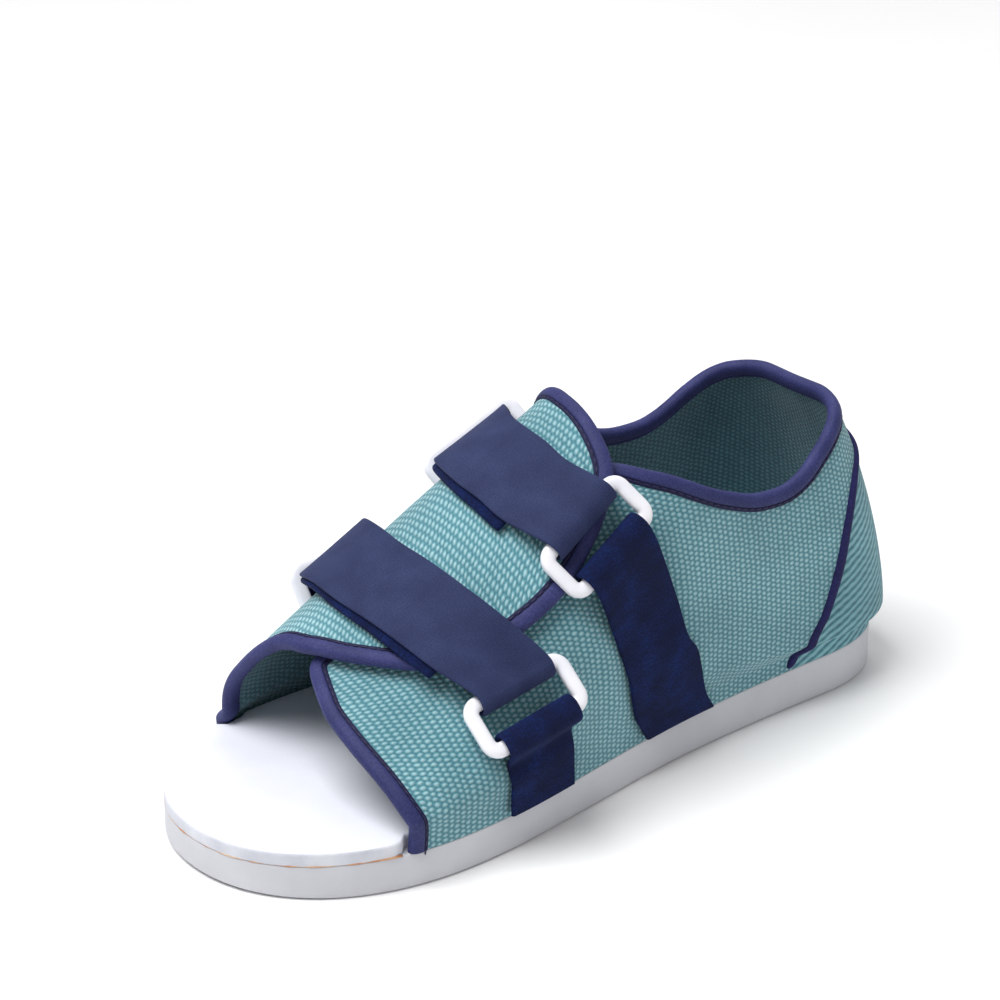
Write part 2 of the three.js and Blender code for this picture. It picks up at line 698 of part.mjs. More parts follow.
const RING_CURVE = 3;

function ring(frame) {
  const roundedBox = (shape, long, short, corner) => {
    const [x, y, r] = [long / 2, short / 2, corner];
    shape.moveTo(x, y - r);
    shape.absarc(x - r, y - r, r, 0, Math.PI / 2);
    shape.absarc(-x + r, y - r, r, Math.PI / 2, Math.PI);
    shape.absarc(-x + r, -y + r, r, Math.PI, 1.5 * Math.PI);
    shape.absarc(x - r, -y + r, r, 1.5 * Math.PI, 2 * Math.PI);
    return shape;
  };
  const { long, short, bar, thickness, corner, bevel } = RING;
  const outline = roundedBox(new THREE.Shape(), long - 2 * bevel, short - 2 * bevel, corner - bevel);
  const window = new THREE.Path();
  const hole = [long - 2 * bar + 2 * bevel, short - 2 * bar + 2 * bevel];
  outline.holes.push(roundedBox(window, hole[0], hole[1], corner - bar + bevel));
  const geometry = new THREE.ExtrudeGeometry(outline, {
    depth: thickness - 2 * bevel,
    bevelSize: bevel,
    bevelThickness: bevel,
    bevelSegments: 1,
    curveSegments: RING_CURVE,
  });
  geometry.translate(0, 0, -thickness / 2 + bevel);
  const { origin, across, short: upward } = frame;
  const basis = new THREE.Matrix4().makeBasis(across, upward, across.clone().cross(upward));
  geometry.applyMatrix4(basis.setPosition(origin));
  return geometry;
}

const shoe = new THREE.Group();
shoe.name = 'post_operative_shoe';

function add(name, geometry, look) {
  const mesh = new THREE.Mesh(geometry, look);
  mesh.name = name;
  shoe.add(mesh);
}

add('outsole', outsole(), materials.outsole);
add('footbed', footbed(), materials.footbed);
add('upper', solid(sheet(0), sheet(-WALL)), materials.mesh);

// The binding runs round the whole sheet but its foot: up the outer front edge, along the top and
// down the inner front edge.
const final = columns.length - 1;
const top = ROWS - 1;
const edgeOf = [
  ...columns[0].slice(0, top).map((place, row) => [place, columns[1][row]]),
  ...columns.map((column, i) => [column[top], columns[clamp(i, 1, final - 1)][top - 1]]),
  ...columns[final].slice(0, top).map((place, row) => [place, columns[final - 1][row]]).reverse(),
];
const [edge, behindEdge] = [0, 1].map((which) => edgeOf.map((pair) => pair[which]));
add('binding', binding(edge, behindEdge), materials.binding);
add('piping_outer', piping(false), materials.binding);
add('piping_inner', piping(true), materials.binding);

const BAR_AT = (RING.short - RING.bar) / 2;
const OUTER_FOLD = 115;
const PLUSH_FOLD = 145;
const PLUSH_PARTS = [0.42, 0.6, 0.78, 0.9, 1];
const PLUSH_MIDDLE = PLUSH_REST + STRAP.plush / 2;
const HOOK_REST = PLUSH_REST + STRAP.plush + GAP + STRAP.pile + GAP + STRAP.hook / 2;

// The inner plush tape around its ring's lower bar, in shares of its round about the bar.
const INNER_CURL = [[-1, -0.5], [-0.8, 0.7], [0, 0.95], [0.75, 0.7], [1, 0], [0.7, -0.8]];
const RIDE_CONTROLS = 6;
const RING_PASS = 5;
const SOLE_ROOM = 3;

// Where the bundle of tapes comes down from its inner ring onto the plush tape. Each rise is a
// share of the full ride.
const DESCENT = [
  { part: 0.36, rise: 0.4 },
  { part: 0.6, rise: 0.09 },
  { part: 0.8, rise: 0.06 },
  { part: 0.97, rise: 0.06 },
];

function strap({ name, line, outerRing, innerRing, ride }) {
  const way = route(line, outerRing.around);
  const inner = way.distanceTo(innerRing.around);
  const soleOuter = way.distanceTo(SOLE_ROOM - FOOT_ANGLE);
  const soleInner = way.distanceTo(INNER_SIDE + FOOT_ANGLE - SOLE_ROOM);
  const outerFrame = ringFrame(way, 0, outerRing.lift * RIDE, outerRing.tilt);
  const innerFrame = ringFrame(way, inner, innerRing.lift * RIDE, CREST + innerRing.lean);
  const on = (distance, lift) => (w) => way.at(distance, w, lift);
  const inRing = (x, z) => (w) => innerFrame.at(x, z, w);
  const downInner = (part) => mix(inner, soleInner, part);

  const outerPlush = [
    ...curl(outerFrame, -BAR_AT, STRAP.plush, 1, PLUSH_FOLD),
    ...PLUSH_PARTS.map((part) => on(soleOuter * part, PLUSH_MIDDLE)),
  ];
  add(`plush_${name}_outer`, tape(tapeRows(outerPlush), -STRAP.plush / 2, STRAP.plush / 2), materials.plush);
  add(`ring_${name}_outer`, ring(outerFrame), materials.ring);
  add(`ring_${name}_inner`, ring(innerFrame), materials.ring);

  const fold = curl(outerFrame, BAR_AT, STRAP.hook, -1, OUTER_FOLD);
  const rideAt = curve(ride, 'span');
  const spans = spaced(RIDE_CONTROLS, ride[0].span, ride[ride.length - 1].span);
  const bundle = [
    ...fold,
    ...spans.map((span) => on(inner * span, rideAt(span, 'lift') * RIDE)),
    ...[RING_PASS, 0, -RING_PASS].map((z) => inRing(RING.bar / 2 + RING.play, z)),
    ...DESCENT.map(({ part, rise }) => on(downInner(part), HOOK_REST + rise * RIDE)),
  ];
  const pileTop = -STRAP.hook / 2 - GAP;
  const settled = (i) => ease(i, fold.length, fold.length + RIDE_CONTROLS);
  const pileShift = (i) => mix(-STRAP.shift, -STRAP.endShift, settled(i));
  const pileRows = tapeRows(bundle, pileShift).slice(STEPS_BETWEEN * fold.length);
  add(`hook_tape_${name}`, tape(tapeRows(bundle), -STRAP.hook / 2, STRAP.hook / 2), materials.hook);
  add(`pile_tape_${name}`, tape(pileRows, pileTop - STRAP.pile, pileTop), materials.plush);

  const round = RING.bar / 2 + CURL_ROOM + STRAP.plush / 2;
  const innerPlush = [
    ...INNER_CURL.map(([x, z]) => inRing(-BAR_AT + x * round, z * round)),
    ...PLUSH_PARTS.map((part) => on(downInner(part), PLUSH_MIDDLE)),
  ];
  add(`plush_${name}_inner`, tape(tapeRows(innerPlush), -STRAP.plush / 2, STRAP.plush / 2), materials.plush);
}

STRAPS.forEach(strap);

// The part's origin lies under the middle of its box, on the floor.
const box = new THREE.Box3().setFromObject(shoe);
const middle = box.getCenter(new THREE.Vector3());
shoe.position.set(-middle.x, -middle.y, -box.min.z);

export default shoe;
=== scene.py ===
"""Dressed model of a left post operative shoe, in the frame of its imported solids.

Lengths are millimetres in the sizes below and metres in the meshes. The toe points to -Y, the
outer side of the shoe to +X and +Z is up.
"""

import logging
import math
from dataclasses import dataclass, field
from enum import Enum
from typing import Any, Callable, Sequence

import bpy
import numpy as np
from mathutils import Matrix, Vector


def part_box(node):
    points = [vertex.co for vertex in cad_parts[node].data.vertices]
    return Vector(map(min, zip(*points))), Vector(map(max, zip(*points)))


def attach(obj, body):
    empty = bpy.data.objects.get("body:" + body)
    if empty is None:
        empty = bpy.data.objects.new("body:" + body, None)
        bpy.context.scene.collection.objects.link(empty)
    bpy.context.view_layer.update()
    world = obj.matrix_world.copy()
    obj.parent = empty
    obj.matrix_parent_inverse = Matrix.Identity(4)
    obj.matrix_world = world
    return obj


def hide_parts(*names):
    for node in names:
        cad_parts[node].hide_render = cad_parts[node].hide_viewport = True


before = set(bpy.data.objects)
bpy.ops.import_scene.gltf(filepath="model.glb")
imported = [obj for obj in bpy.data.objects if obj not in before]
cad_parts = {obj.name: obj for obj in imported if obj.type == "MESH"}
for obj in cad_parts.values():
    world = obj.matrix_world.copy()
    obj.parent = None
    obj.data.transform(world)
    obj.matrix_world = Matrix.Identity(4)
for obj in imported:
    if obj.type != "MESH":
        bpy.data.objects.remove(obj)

log = logging.getLogger("post_operative_shoe")

MM = 0.001
SMALL = 0.25
FOOT_ANGLE = 30.0
CREST = 90.0
INNER_SIDE = 180.0
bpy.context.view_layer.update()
SOLE_LOW, SOLE_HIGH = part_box("outsole")
SHIFT = np.array([(SOLE_LOW[0] + SOLE_HIGH[0]) / 2, (SOLE_LOW[1] + SOLE_HIGH[1]) / 2, 0.0])

Points = np.ndarray
Place = Callable[[Points], Points]


class Side(Enum):
    """The three stretches of the upper, from the outer toe round the heel to the inner toe."""

    OUTER = "outer"
    HEEL = "heel"
    INNER = "inner"


class Face(Enum):
    """Faces of a two-sided sheet, by the slot of the finish that each one takes."""

    SHOWN = 0
    PANEL = 1
    LINING = 2


# Arithmetic on arrays


def ease(value: Points, start: float, end: float) -> Points:
    """Return 0 before start, 1 past end, and a smooth rise between."""
    t = np.clip((np.asarray(value, float) - start) / (end - start), 0.0, 1.0)
    return t * t * (3.0 - 2.0 * t)


def mix(start: Any, end: Any, part: Any) -> Any:
    """Return the value a part of the way from start to end."""
    return start + (end - start) * part


def unit(vectors: Points) -> Points:
    """Return the vectors at length one."""
    return vectors / np.maximum(np.linalg.norm(vectors, axis=-1, keepdims=True), 1e-12)


def dot(a: Points, b: Points) -> Points:
    """Return the dot products of two arrays of vectors."""
    return np.sum(a * b, axis=-1)


class Table:
    """Smooth curves through the rows of a table that never swing past a row."""

    def __init__(self, names: Sequence[str], rows: Sequence[Sequence[float]]) -> None:
        """Fit the curves.

        Args:
            names: Names of the columns. The first one is looked up by.
            rows: The table's rows, in rising order of their first value.
        """
        self.values = np.array(rows, float)
        self.keys = self.values[:, 0]
        self.names = list(names)
        steps = np.diff(self.values, axis=0) / np.diff(self.keys)[:, None]
        before = np.vstack([steps[:1], steps])
        after = np.vstack([steps, steps[-1:]])
        both = before * after
        total = np.where(both > 0, before + after, 1.0)
        self.slopes = np.where(both > 0, 2.0 * both / total, 0.0)

    def at(self, key: Any, name: str) -> Points:
        """Return a column's value at each key."""
        column = self.names.index(name)
        x = np.clip(np.asarray(key, float), self.keys[0], self.keys[-1])
        i = np.clip(np.searchsorted(self.keys, x, side="left") - 1, 0, len(self.keys) - 2)
        step = self.keys[i + 1] - self.keys[i]
        t = (x - self.keys[i]) / step
        ends = mix(self.values[i, column], self.values[i + 1, column], t * t * (3 - 2 * t))
        start = t * (1 - t) ** 2 * step * self.slopes[i, column]
        end = t * t * (t - 1) * step * self.slopes[i + 1, column]
        return ends + start + end


def smooth_line(controls: Points, steps: int) -> Points:
    """Return points along smooth lines through rows of controls.

    Args:
        controls: Controls along the first axis, of any number of lines along the second.
        steps: Steps from each control to the next.
    """
    first = 2 * controls[:1] - controls[1:2]
    last = 2 * controls[-1:] - controls[-2:-1]
    points = np.concatenate([first, controls, last])
    gaps = np.linalg.norm(np.diff(points, axis=0), axis=-1) ** 0.5
    gaps = np.maximum(gaps, 1e-3)[..., None]
    out = []
    for i in range(len(controls) - 1):
        x0, x1, x2, x3 = points[i : i + 4]
        d0, d1, d2 = gaps[i : i + 3]
        start = ((x1 - x0) / d0 - (x2 - x0) / (d0 + d1) + (x2 - x1) / d1) * d1
        end = ((x2 - x1) / d1 - (x3 - x1) / (d1 + d2) + (x3 - x2) / d2) * d1
        for t in np.arange(steps) / steps:
            square = (-3 * x1 + 3 * x2 - 2 * start - end) * t**2
            out.append(x1 + start * t + square + (2 * x1 - 2 * x2 + start + end) * t**3)
    out.append(controls[-1])
    return np.array(out)


# Meshes


def linear(hex_colour: str) -> tuple[float, float, float, float]:
    """Return the linear colour of an sRGB hex value."""
    parts = [int(hex_colour[i : i + 2], 16) / 255 for i in (1, 3, 5)]
    low = [c / 12.92 if c <= 0.04045 else ((c + 0.055) / 1.055) ** 2.4 for c in parts]
    return (low[0], low[1], low[2], 1.0)


@dataclass
class Shell:
    """Points and faces of one closed surface.

    Attributes:
        points: Places in the part's own frame, in millimetres.
        faces: Corners of each face.
        uv: Place of each point on its cloth, in millimetres, or None.
        slots: Slot of the finish of each face, or None where there is one finish.
    """

    points: Points
    faces: list[list[int]]
    uv: Points | None = None
    slots: Points | None = None

    def volume(self) -> float:
        """Return six times the signed volume, which is above 0 where the faces point outwards."""
        total = 0.0
        for face in self.faces:
            corners = self.points[face]
            fan = np.cross(corners[1:-1], corners[2:])
            total += float(np.sum(fan @ corners[0]))
        return total

    def object(self, name: str, finishes: Sequence[bpy.types.Material]) -> bpy.types.Object:
        """Make the piece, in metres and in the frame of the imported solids.

        Args:
            name: The piece's name.
            finishes: Its materials, by slot.

        Returns:
            The new object, whose place is in its mesh.
        """
        faces = [face[::-1] for face in self.faces] if self.volume() < 0 else self.faces
        mesh = bpy.data.meshes.new(name)
        mesh.from_pydata((self.points * MM + SHIFT).tolist(), [], faces)
        for finish in finishes:
            mesh.materials.append(finish)
        mesh.polygons.foreach_set("use_smooth", [True] * len(faces))
        if self.slots is not None:
            mesh.polygons.foreach_set("material_index", self.slots.astype(int).tolist())
        if self.uv is not None:
            corners = np.zeros(len(mesh.loops), int)
            mesh.loops.foreach_get("vertex_index", corners)
            layer = mesh.uv_layers.new(name="cloth")
            layer.data.foreach_set("uv", self.uv[corners].ravel())
        mesh.update()
        piece = bpy.data.objects.new(name, mesh)
        bpy.context.scene.collection.objects.link(piece)
        log.info("%s: %d faces", name, len(faces))
        return piece


def sheet_shell(front: Points, back: Points, uv: Points, slots: Points) -> Shell:
    """Return the closed surface between two facing grids of points.

    Args:
        front: The outer face, columns by rows.
        back: The inner face, laid out in the same way.
        uv: Place of each point of the outer face on its cloth.
        slots: Slot of the finish of each face of the outer grid.
    """
    columns, rows = front.shape[:2]
    index = np.arange(columns * rows).reshape(columns, rows)
    a, b, c, d = index[:-1, :-1], index[1:, :-1], index[1:, 1:], index[:-1, 1:]
    top = np.stack([a, b, c, d], -1).reshape(-1, 4)
    low = top[:, ::-1] + columns * rows
    rims = []
    for line, flip in ((index[:, 0], True), (index[:, -1], False), (index[0], False), (index[-1], True)):
        below = line + columns * rows
        quad = np.stack([line[:-1], line[1:], below[1:], below[:-1]], -1)
        rims.append(quad[:, ::-1] if flip else quad)
    rim = np.concatenate(rims)
    faces = np.concatenate([top, low, rim])
    lining = np.full(len(low) + len(rim), Face.LINING.value)
    points = np.concatenate([front.reshape(-1, 3), back.reshape(-1, 3)])
    cloth = np.concatenate([uv.reshape(-1, 2)] * 2)
    return Shell(points, faces.tolist(), cloth, np.concatenate([slots.ravel(), lining]))


def tube_shell(loops: Points, uv: Points | None = None) -> Shell:
    """Return the surface swept through closed loops of points, with a cap at each end.

    Args:
        loops: Loops along the first axis and the points of each along the second.
        uv: Place of each point on its cloth, laid out in the same way.
    """
    count, size = loops.shape[:2]
    index = np.arange(count * size).reshape(count, size)
    ahead = np.roll(index, -1, axis=1)
    quads = np.stack([index[:-1], ahead[:-1], ahead[1:], index[1:]], -1).reshape(-1, 4)
    faces = quads.tolist()
    ends = loops[[0, -1]].mean(axis=1)
    first, last = count * size, count * size + 1
    faces += [[first, int(b), int(a)] for a, b in zip(index[0], ahead[0])]
    faces += [[last, int(a), int(b)] for a, b in zip(index[-1], ahead[-1])]
    points = np.concatenate([loops.reshape(-1, 3), ends])
    cloth = None
    if uv is not None:
        cloth = np.concatenate([uv.reshape(-1, 2), uv[[0, -1]].mean(axis=1)])
    return Shell(points, faces, cloth)


def ring_shell(loops: Points) -> Shell:
    """Return the surface swept through closed loops of points round a closed path."""
    count, size = loops.shape[:2]
    index = np.arange(count * size).reshape(count, size)
    ahead = np.roll(index, -1, axis=1)
    on = np.roll(index, -1, axis=0)
    both = np.roll(ahead, -1, axis=0)
    faces = np.stack([index, ahead, both, on], -1).reshape(-1, 4)
    return Shell(loops.reshape(-1, 3), faces.tolist())


def dress(piece: bpy.types.Object, slot: str, *nodes: str) -> None:
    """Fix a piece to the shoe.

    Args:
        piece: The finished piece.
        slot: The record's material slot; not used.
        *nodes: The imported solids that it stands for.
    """
    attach(piece, "root")
    if nodes:
        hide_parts(*nodes)


# Finishes


def add_node(
    tree: bpy.types.NodeTree,
    kind: str,
    settings: dict[str, Any] | None = None,
    inputs: dict[Any, Any] | None = None,
) -> bpy.types.Node:
    """Add a node to a tree.

    Args:
        tree: The tree to add to.
        kind: The node's type.
        settings: Its properties and their values.
        inputs: Its sockets by name or number, each with a value or with an output to link.

    Returns:
        The new node.
    """
    node = tree.nodes.new(kind)
    for name, value in (settings or {}).items():
        setattr(node, name, value)
    for name, value in (inputs or {}).items():
        if isinstance(value, bpy.types.NodeSocket):
            tree.links.new(value, node.inputs[name])
        else:
            node.inputs[name].default_value = value
    return node


def new_material(name: str) -> tuple[bpy.types.Material, bpy.types.NodeTree, bpy.types.Node]:
    """Return a new material, its tree and its shader."""
    material = bpy.data.materials.new(name)
    material.use_nodes = True
    return material, material.node_tree, material.node_tree.nodes["Principled BSDF"]


def ramp(tree: bpy.types.NodeTree, value: Any, stops: Sequence[tuple[float, str]]) -> Any:
    """Return the colour output of a ramp over hex colours.

    Args:
        tree: The tree to add to.
        value: The output that the ramp reads.
        stops: Place and colour of each stop, the lowest first.
    """
    node = add_node(tree, "ShaderNodeValToRGB", inputs={0: value})
    band = node.color_ramp
    while len(band.elements) < len(stops):
        band.elements.new(0.5)
    for element, (place, colour) in zip(band.elements, stops):
        element.position = place
        element.color = linear(colour)
    return node.outputs["Color"]


@dataclass(frozen=True)
class AirMesh:
    """Warp-knitted polyester spacer mesh: staggered raised lozenges between open holes, with painted shade in
    the holes.

    Attributes:
        name: The material's name.
        pitch: Distance between columns of holes, in millimetres.
        repeat: Distance between holes of one column, in millimetres.
        turn: How far the cloth was turned when it was cut, in degrees.
        ridge: Share of the relief that runs as oblique ridges instead of lozenges.
        rib: Weight of the ribs that join the lozenges of a column.
        colours: Colours of the holes, the slopes and the raised yarn, set by the relief's height: painted
            shade in the holes and a painted highlight on the raised yarn.
    """

    name: str = "knitted_air_mesh"
    pitch: float = 2.2
    repeat: float = 1.75
    turn: float = 0.0
    ridge: float = 0.0
    rib: float = 0.55
    colours: tuple[str, str, str] = ("#2f6b79", "#649fab", "#a6ced5")

    def material(self) -> bpy.types.Material:
        """Return the finish, which reads the piece's own cloth map in millimetres."""
        material, tree, shader = new_material(self.name)
        cloth = add_node(tree, "ShaderNodeUVMap", {"uv_map": "cloth"})
        turned = add_node(
            tree,
            "ShaderNodeMapping",
            inputs={"Vector": cloth.outputs[0], "Rotation": (0.0, 0.0, math.radians(self.turn))},
        )
        # the knit is never quite regular, so the lattice wanders by a third of a millimetre
        drift = add_node(
            tree,
            "ShaderNodeTexNoise",
            {"noise_dimensions": "2D"},
            {"Vector": turned.outputs[0], "Scale": 0.22, "Detail": 1.0},
        )
        offset = add_node(
            tree,
            "ShaderNodeVectorMath",
            {"operation": "MULTIPLY_ADD"},
            {0: drift.outputs["Color"], 1: (0.9, 0.9, 0.0), 2: turned.outputs[0]},
        )
        axes = add_node(tree, "ShaderNodeSeparateXYZ", inputs={0: offset.outputs[0]})
        waves = []
        for axis, period in (("X", 2 * self.pitch), ("Y", self.repeat)):
            phase = add_node(
                tree,
                "ShaderNodeMath",
                {"operation": "MULTIPLY"},
                {0: axes.outputs[axis], 1: 2 * math.pi / period},
            )
            waves.append(phase.outputs[0])
        heights = []
        for operation in ("SUBTRACT", "ADD"):
            total = add_node(tree, "ShaderNodeMath", {"operation": operation}, {0: waves[0], 1: waves[1]})
            wave = add_node(tree, "ShaderNodeMath", {"operation": "COSINE"}, {0: total.outputs[0]})
            heights.append(wave.outputs[0])
        twice = add_node(tree, "ShaderNodeMath", {"operation": "MULTIPLY"}, {0: waves[0], 1: 2.0})
        rib = add_node(tree, "ShaderNodeMath", {"operation": "COSINE"}, {0: twice.outputs[0]})
        share = 0.5 - 0.5 * self.ridge
        parts = ((rib.outputs[0], self.rib), (heights[1], share), (heights[0], 1.0 - share))
        relief = add_node(tree, "ShaderNodeValue")
        relief.outputs[0].default_value = 0.0
        for wave, weight in parts:
            relief = add_node(
                tree,
                "ShaderNodeMath",
                {"operation": "MULTIPLY_ADD"},
                {0: wave, 1: weight * 0.5, 2: relief.outputs[0]},
            )
        fibre = add_node(
            tree,
            "ShaderNodeTexNoise",
            {"noise_dimensions": "2D"},
            {"Vector": cloth.outputs[0], "Scale": 1.9, "Detail": 4.0, "Roughness": 0.8},
        )
        height = add_node(
            tree,
            "ShaderNodeMath",
            {"operation": "MULTIPLY_ADD"},
            {0: fibre.outputs["Fac"], 1: 0.6, 2: relief.outputs[0]},
        )
        level = add_node(
            tree, "ShaderNodeMath", {"operation": "MULTIPLY_ADD"}, {0: height.outputs[0], 1: 0.7, 2: 0.28}
        )
        # painted shade in the holes and a painted highlight on the raised yarn, both following the relief's
        # height
        shaded_hole, slope, yarn = self.colours
        colour = ramp(tree, level.outputs[0], [(0.12, shaded_hole), (0.42, slope), (0.82, yarn)])
        wear = add_node(
            tree,
            "ShaderNodeTexNoise",
            {"noise_dimensions": "2D"},
            {"Vector": cloth.outputs[0], "Scale": 0.035, "Detail": 2.0},
        )
        shade = ramp(tree, wear.outputs["Fac"], [(0.3, "#dfe6e8"), (0.7, "#ffffff")])
        tinted = add_node(
            tree,
            "ShaderNodeMix",
            {"data_type": "RGBA", "blend_type": "MULTIPLY"},
            {"Factor": 1.0, 6: colour, 7: shade},
        )
        bump = add_node(
            tree,
            "ShaderNodeBump",
            inputs={"Height": height.outputs[0], "Strength": 0.75, "Distance": 0.0006},
        )
        tree.links.new(tinted.outputs[2], shader.inputs["Base Color"])
        tree.links.new(bump.outputs[0], shader.inputs["Normal"])
        shader.inputs["Roughness"].default_value = 0.85
        shader.inputs["Specular IOR Level"].default_value = 0.2
        shader.inputs["Sheen Weight"].default_value = 0.25
        shader.inputs["Sheen Roughness"].default_value = 0.6
        return material


@dataclass(frozen=True)
class WovenTape:
    """Woven or brushed polyester tape, whose yarns show as fine ribs under a soft fuzz.

    Attributes:
        name: The material's name.
        colours: Colours of the valleys, the body and the lit yarns.
        rib: Distance between ribs along the tape, in millimetres.
        relief: Depth of the ribs and fuzz, in metres.
        fuzz: Size of the fuzz's tufts, in millimetres.
        rib_share: Share of the relief that the ribs take.
        sheen: Weight of the fuzz's soft light rim.
        sheen_colour: Colour of that rim.
        roughness: Roughness of the yarns.
        margin: Width of the dark margin along one edge, in millimetres, or 0: partly the sewn edge and partly
            painted shade where the tape meets the mesh.
        sewn_edge_and_shade_colour: Its colour, the sewn edge's dark tone together with painted shade.
    """

    name: str
    colours: tuple[str, str, str]
    rib: float
    relief: float
    fuzz: float
    rib_share: float
    sheen: float
    sheen_colour: str
    roughness: float = 0.8
    margin: float = 0.0
    sewn_edge_and_shade_colour: str = "#15153c"

    def material(self) -> bpy.types.Material:
        """Return the finish, which reads the piece's own cloth map in millimetres."""
        material, tree, shader = new_material(self.name)
        cloth = add_node(tree, "ShaderNodeUVMap", {"uv_map": "cloth"})
        axes = add_node(tree, "ShaderNodeSeparateXYZ", inputs={0: cloth.outputs[0]})
        phase = add_node(
            tree,
            "ShaderNodeMath",
            {"operation": "MULTIPLY"},
            {0: axes.outputs["Y"], 1: 2 * math.pi / self.rib},
        )
        wave = add_node(tree, "ShaderNodeMath", {"operation": "SINE"}, {0: phase.outputs[0]})
        tufts = add_node(
            tree,
            "ShaderNodeTexNoise",
            {"noise_dimensions": "2D"},
            {"Vector": cloth.outputs[0], "Scale": 1.0 / self.fuzz, "Detail": 5.0, "Roughness": 0.75},
        )
        height = add_node(
            tree,
            "ShaderNodeMath",
            {"operation": "MULTIPLY_ADD"},
            {0: wave.outputs[0], 1: self.rib_share, 2: tufts.outputs["Fac"]},
        )
        broad = add_node(
            tree,
            "ShaderNodeTexNoise",
            {"noise_dimensions": "2D"},
            {"Vector": cloth.outputs[0], "Scale": 0.09, "Detail": 2.0},
        )
        level = add_node(
            tree,
            "ShaderNodeMath",
            {"operation": "MULTIPLY_ADD"},
            {0: broad.outputs["Fac"], 1: 0.45, 2: height.outputs[0]},
        )
        low, body, lit = self.colours
        colour = ramp(tree, level.outputs[0], [(0.45, low), (0.72, body), (0.98, lit)])
        bump = add_node(
            tree,
            "ShaderNodeBump",
            inputs={"Height": height.outputs[0], "Strength": 0.8, "Distance": self.relief},
        )
        # darkens the tape along one edge: partly the sewn edge, partly painted shade where the tape meets the
        # mesh
        if self.margin:
            inside = add_node(
                tree,
                "ShaderNodeMapRange",
                {"interpolation_type": "SMOOTHSTEP"},
                {"Value": axes.outputs["X"], "From Min": self.margin - 0.25, "From Max": self.margin + 0.25},
            )
            edged = add_node(
                tree,
                "ShaderNodeMix",
                {"data_type": "RGBA"},
                {"Factor": inside.outputs[0], 6: linear(self.sewn_edge_and_shade_colour), 7: colour},
            )
            colour = edged.outputs[2]
        tree.links.new(colour, shader.inputs["Base Color"])
        tree.links.new(bump.outputs[0], shader.inputs["Normal"])
        shader.inputs["Roughness"].default_value = self.roughness
        shader.inputs["Specular IOR Level"].default_value = 0.25
        shader.inputs["Sheen Weight"].default_value = self.sheen
        shader.inputs["Sheen Roughness"].default_value = 0.45
        shader.inputs["Sheen Tint"].default_value = linear(self.sheen_colour)
        return material


@dataclass(frozen=True)
class Moulded:
    """Plastic, foam or glue, moulded or cast: even colour with faint clouds and a fine grain.

    Attributes:
        name: The material's name.
        colours: The darker and the lighter cloud.
        cloud: Size of the clouds, in millimetres.
        grain: Size of the surface's grain, in millimetres.
        relief: Depth of the grain, in metres.
        roughness: Roughness of the surface.
        ior: Index of refraction of the stuff.
    """

    name: str
    colours: tuple[str, str]
    cloud: float
    grain: float
    relief: float
    roughness: float
    ior: float

    def material(self) -> bpy.types.Material:
        """Return the finish, which reads the piece's Object coordinates."""
        material, tree, shader = new_material(self.name)
        place = add_node(tree, "ShaderNodeTexCoord")
        clouds = add_node(
            tree,
            "ShaderNodeTexNoise",
            inputs={"Vector": place.outputs["Object"], "Scale": 1 / (self.cloud * MM), "Detail": 3.0},
        )
        dark, light = self.colours
        colour = ramp(tree, clouds.outputs["Fac"], [(0.35, dark), (0.65, light)])
        grains = add_node(
            tree,
            "ShaderNodeTexNoise",
            inputs={"Vector": place.outputs["Object"], "Scale": 1 / (self.grain * MM), "Detail": 3.0},
        )
        bump = add_node(
            tree,
            "ShaderNodeBump",
            inputs={"Height": grains.outputs["Fac"], "Strength": 0.6, "Distance": self.relief},
        )
        tree.links.new(colour, shader.inputs["Base Color"])
        tree.links.new(bump.outputs[0], shader.inputs["Normal"])
        shader.inputs["Roughness"].default_value = self.roughness
        shader.inputs["IOR"].default_value = self.ior
        return material


# Spacer mesh of the vamp and quarters, which gives a soft dotted teal.
BODY_MESH = AirMesh()
# The same cloth cut on the slant for the heel panel, where it reads as oblique ridges.
HEEL_MESH = AirMesh(
    name="knitted_air_mesh_on_the_slant",
    pitch=3.5,
    repeat=2.9,
    ridge=0.75,
    rib=0.0,
    colours=("#2c6a79", "#5f9eab", "#8fc3cc"),
)
# Knitted back of the spacer mesh, flatter, and darkened with painted shade for the inside of the shoe.
SHADED_LINING_MESH = AirMesh(name="knitted_lining_in_painted_shade", ridge=0.2, colours=("#27535e", "#3f6f7b", "#5b8a95"))
# Woven polyester binding folded over each edge: a matt purple navy with a lit crown, and a dark strip along
# the edge pressed to the mesh that is partly the sewn edge and partly painted shade.
EDGE_TAPE = WovenTape(
    name="woven_edge_binding",
    colours=("#20244f", "#2d3161", "#3b3f73"),
    rib=1.1,
    relief=0.00012,
    fuzz=0.9,
    rib_share=0.02,
    sheen=0.12,
    sheen_colour="#8d90c8",
    roughness=0.62,
    margin=2.3,
)
# The same binding rolled tight as piping, in darker colours that paint the shade it lies in.
SHADED_PIPING_TAPE = WovenTape(
    name="woven_piping_in_painted_shade",
    colours=("#15143c", "#1e1d4e", "#292862"),
    rib=1.1,
    relief=0.00012,
    fuzz=0.9,
    rib_share=0.02,
    sheen=0.1,
    sheen_colour="#8d90c8",
)
# Woven back of the hook tape: smooth heathered navy with fine cross ribs.
HOOK_TAPE = WovenTape(
    name="woven_hook_tape_back",
    colours=("#1b2344", "#252e52", "#303a60"),
    rib=0.9,
    relief=0.00012,
    fuzz=0.55,
    rib_share=0.04,
    sheen=0.08,
    sheen_colour="#8f96c8",
)
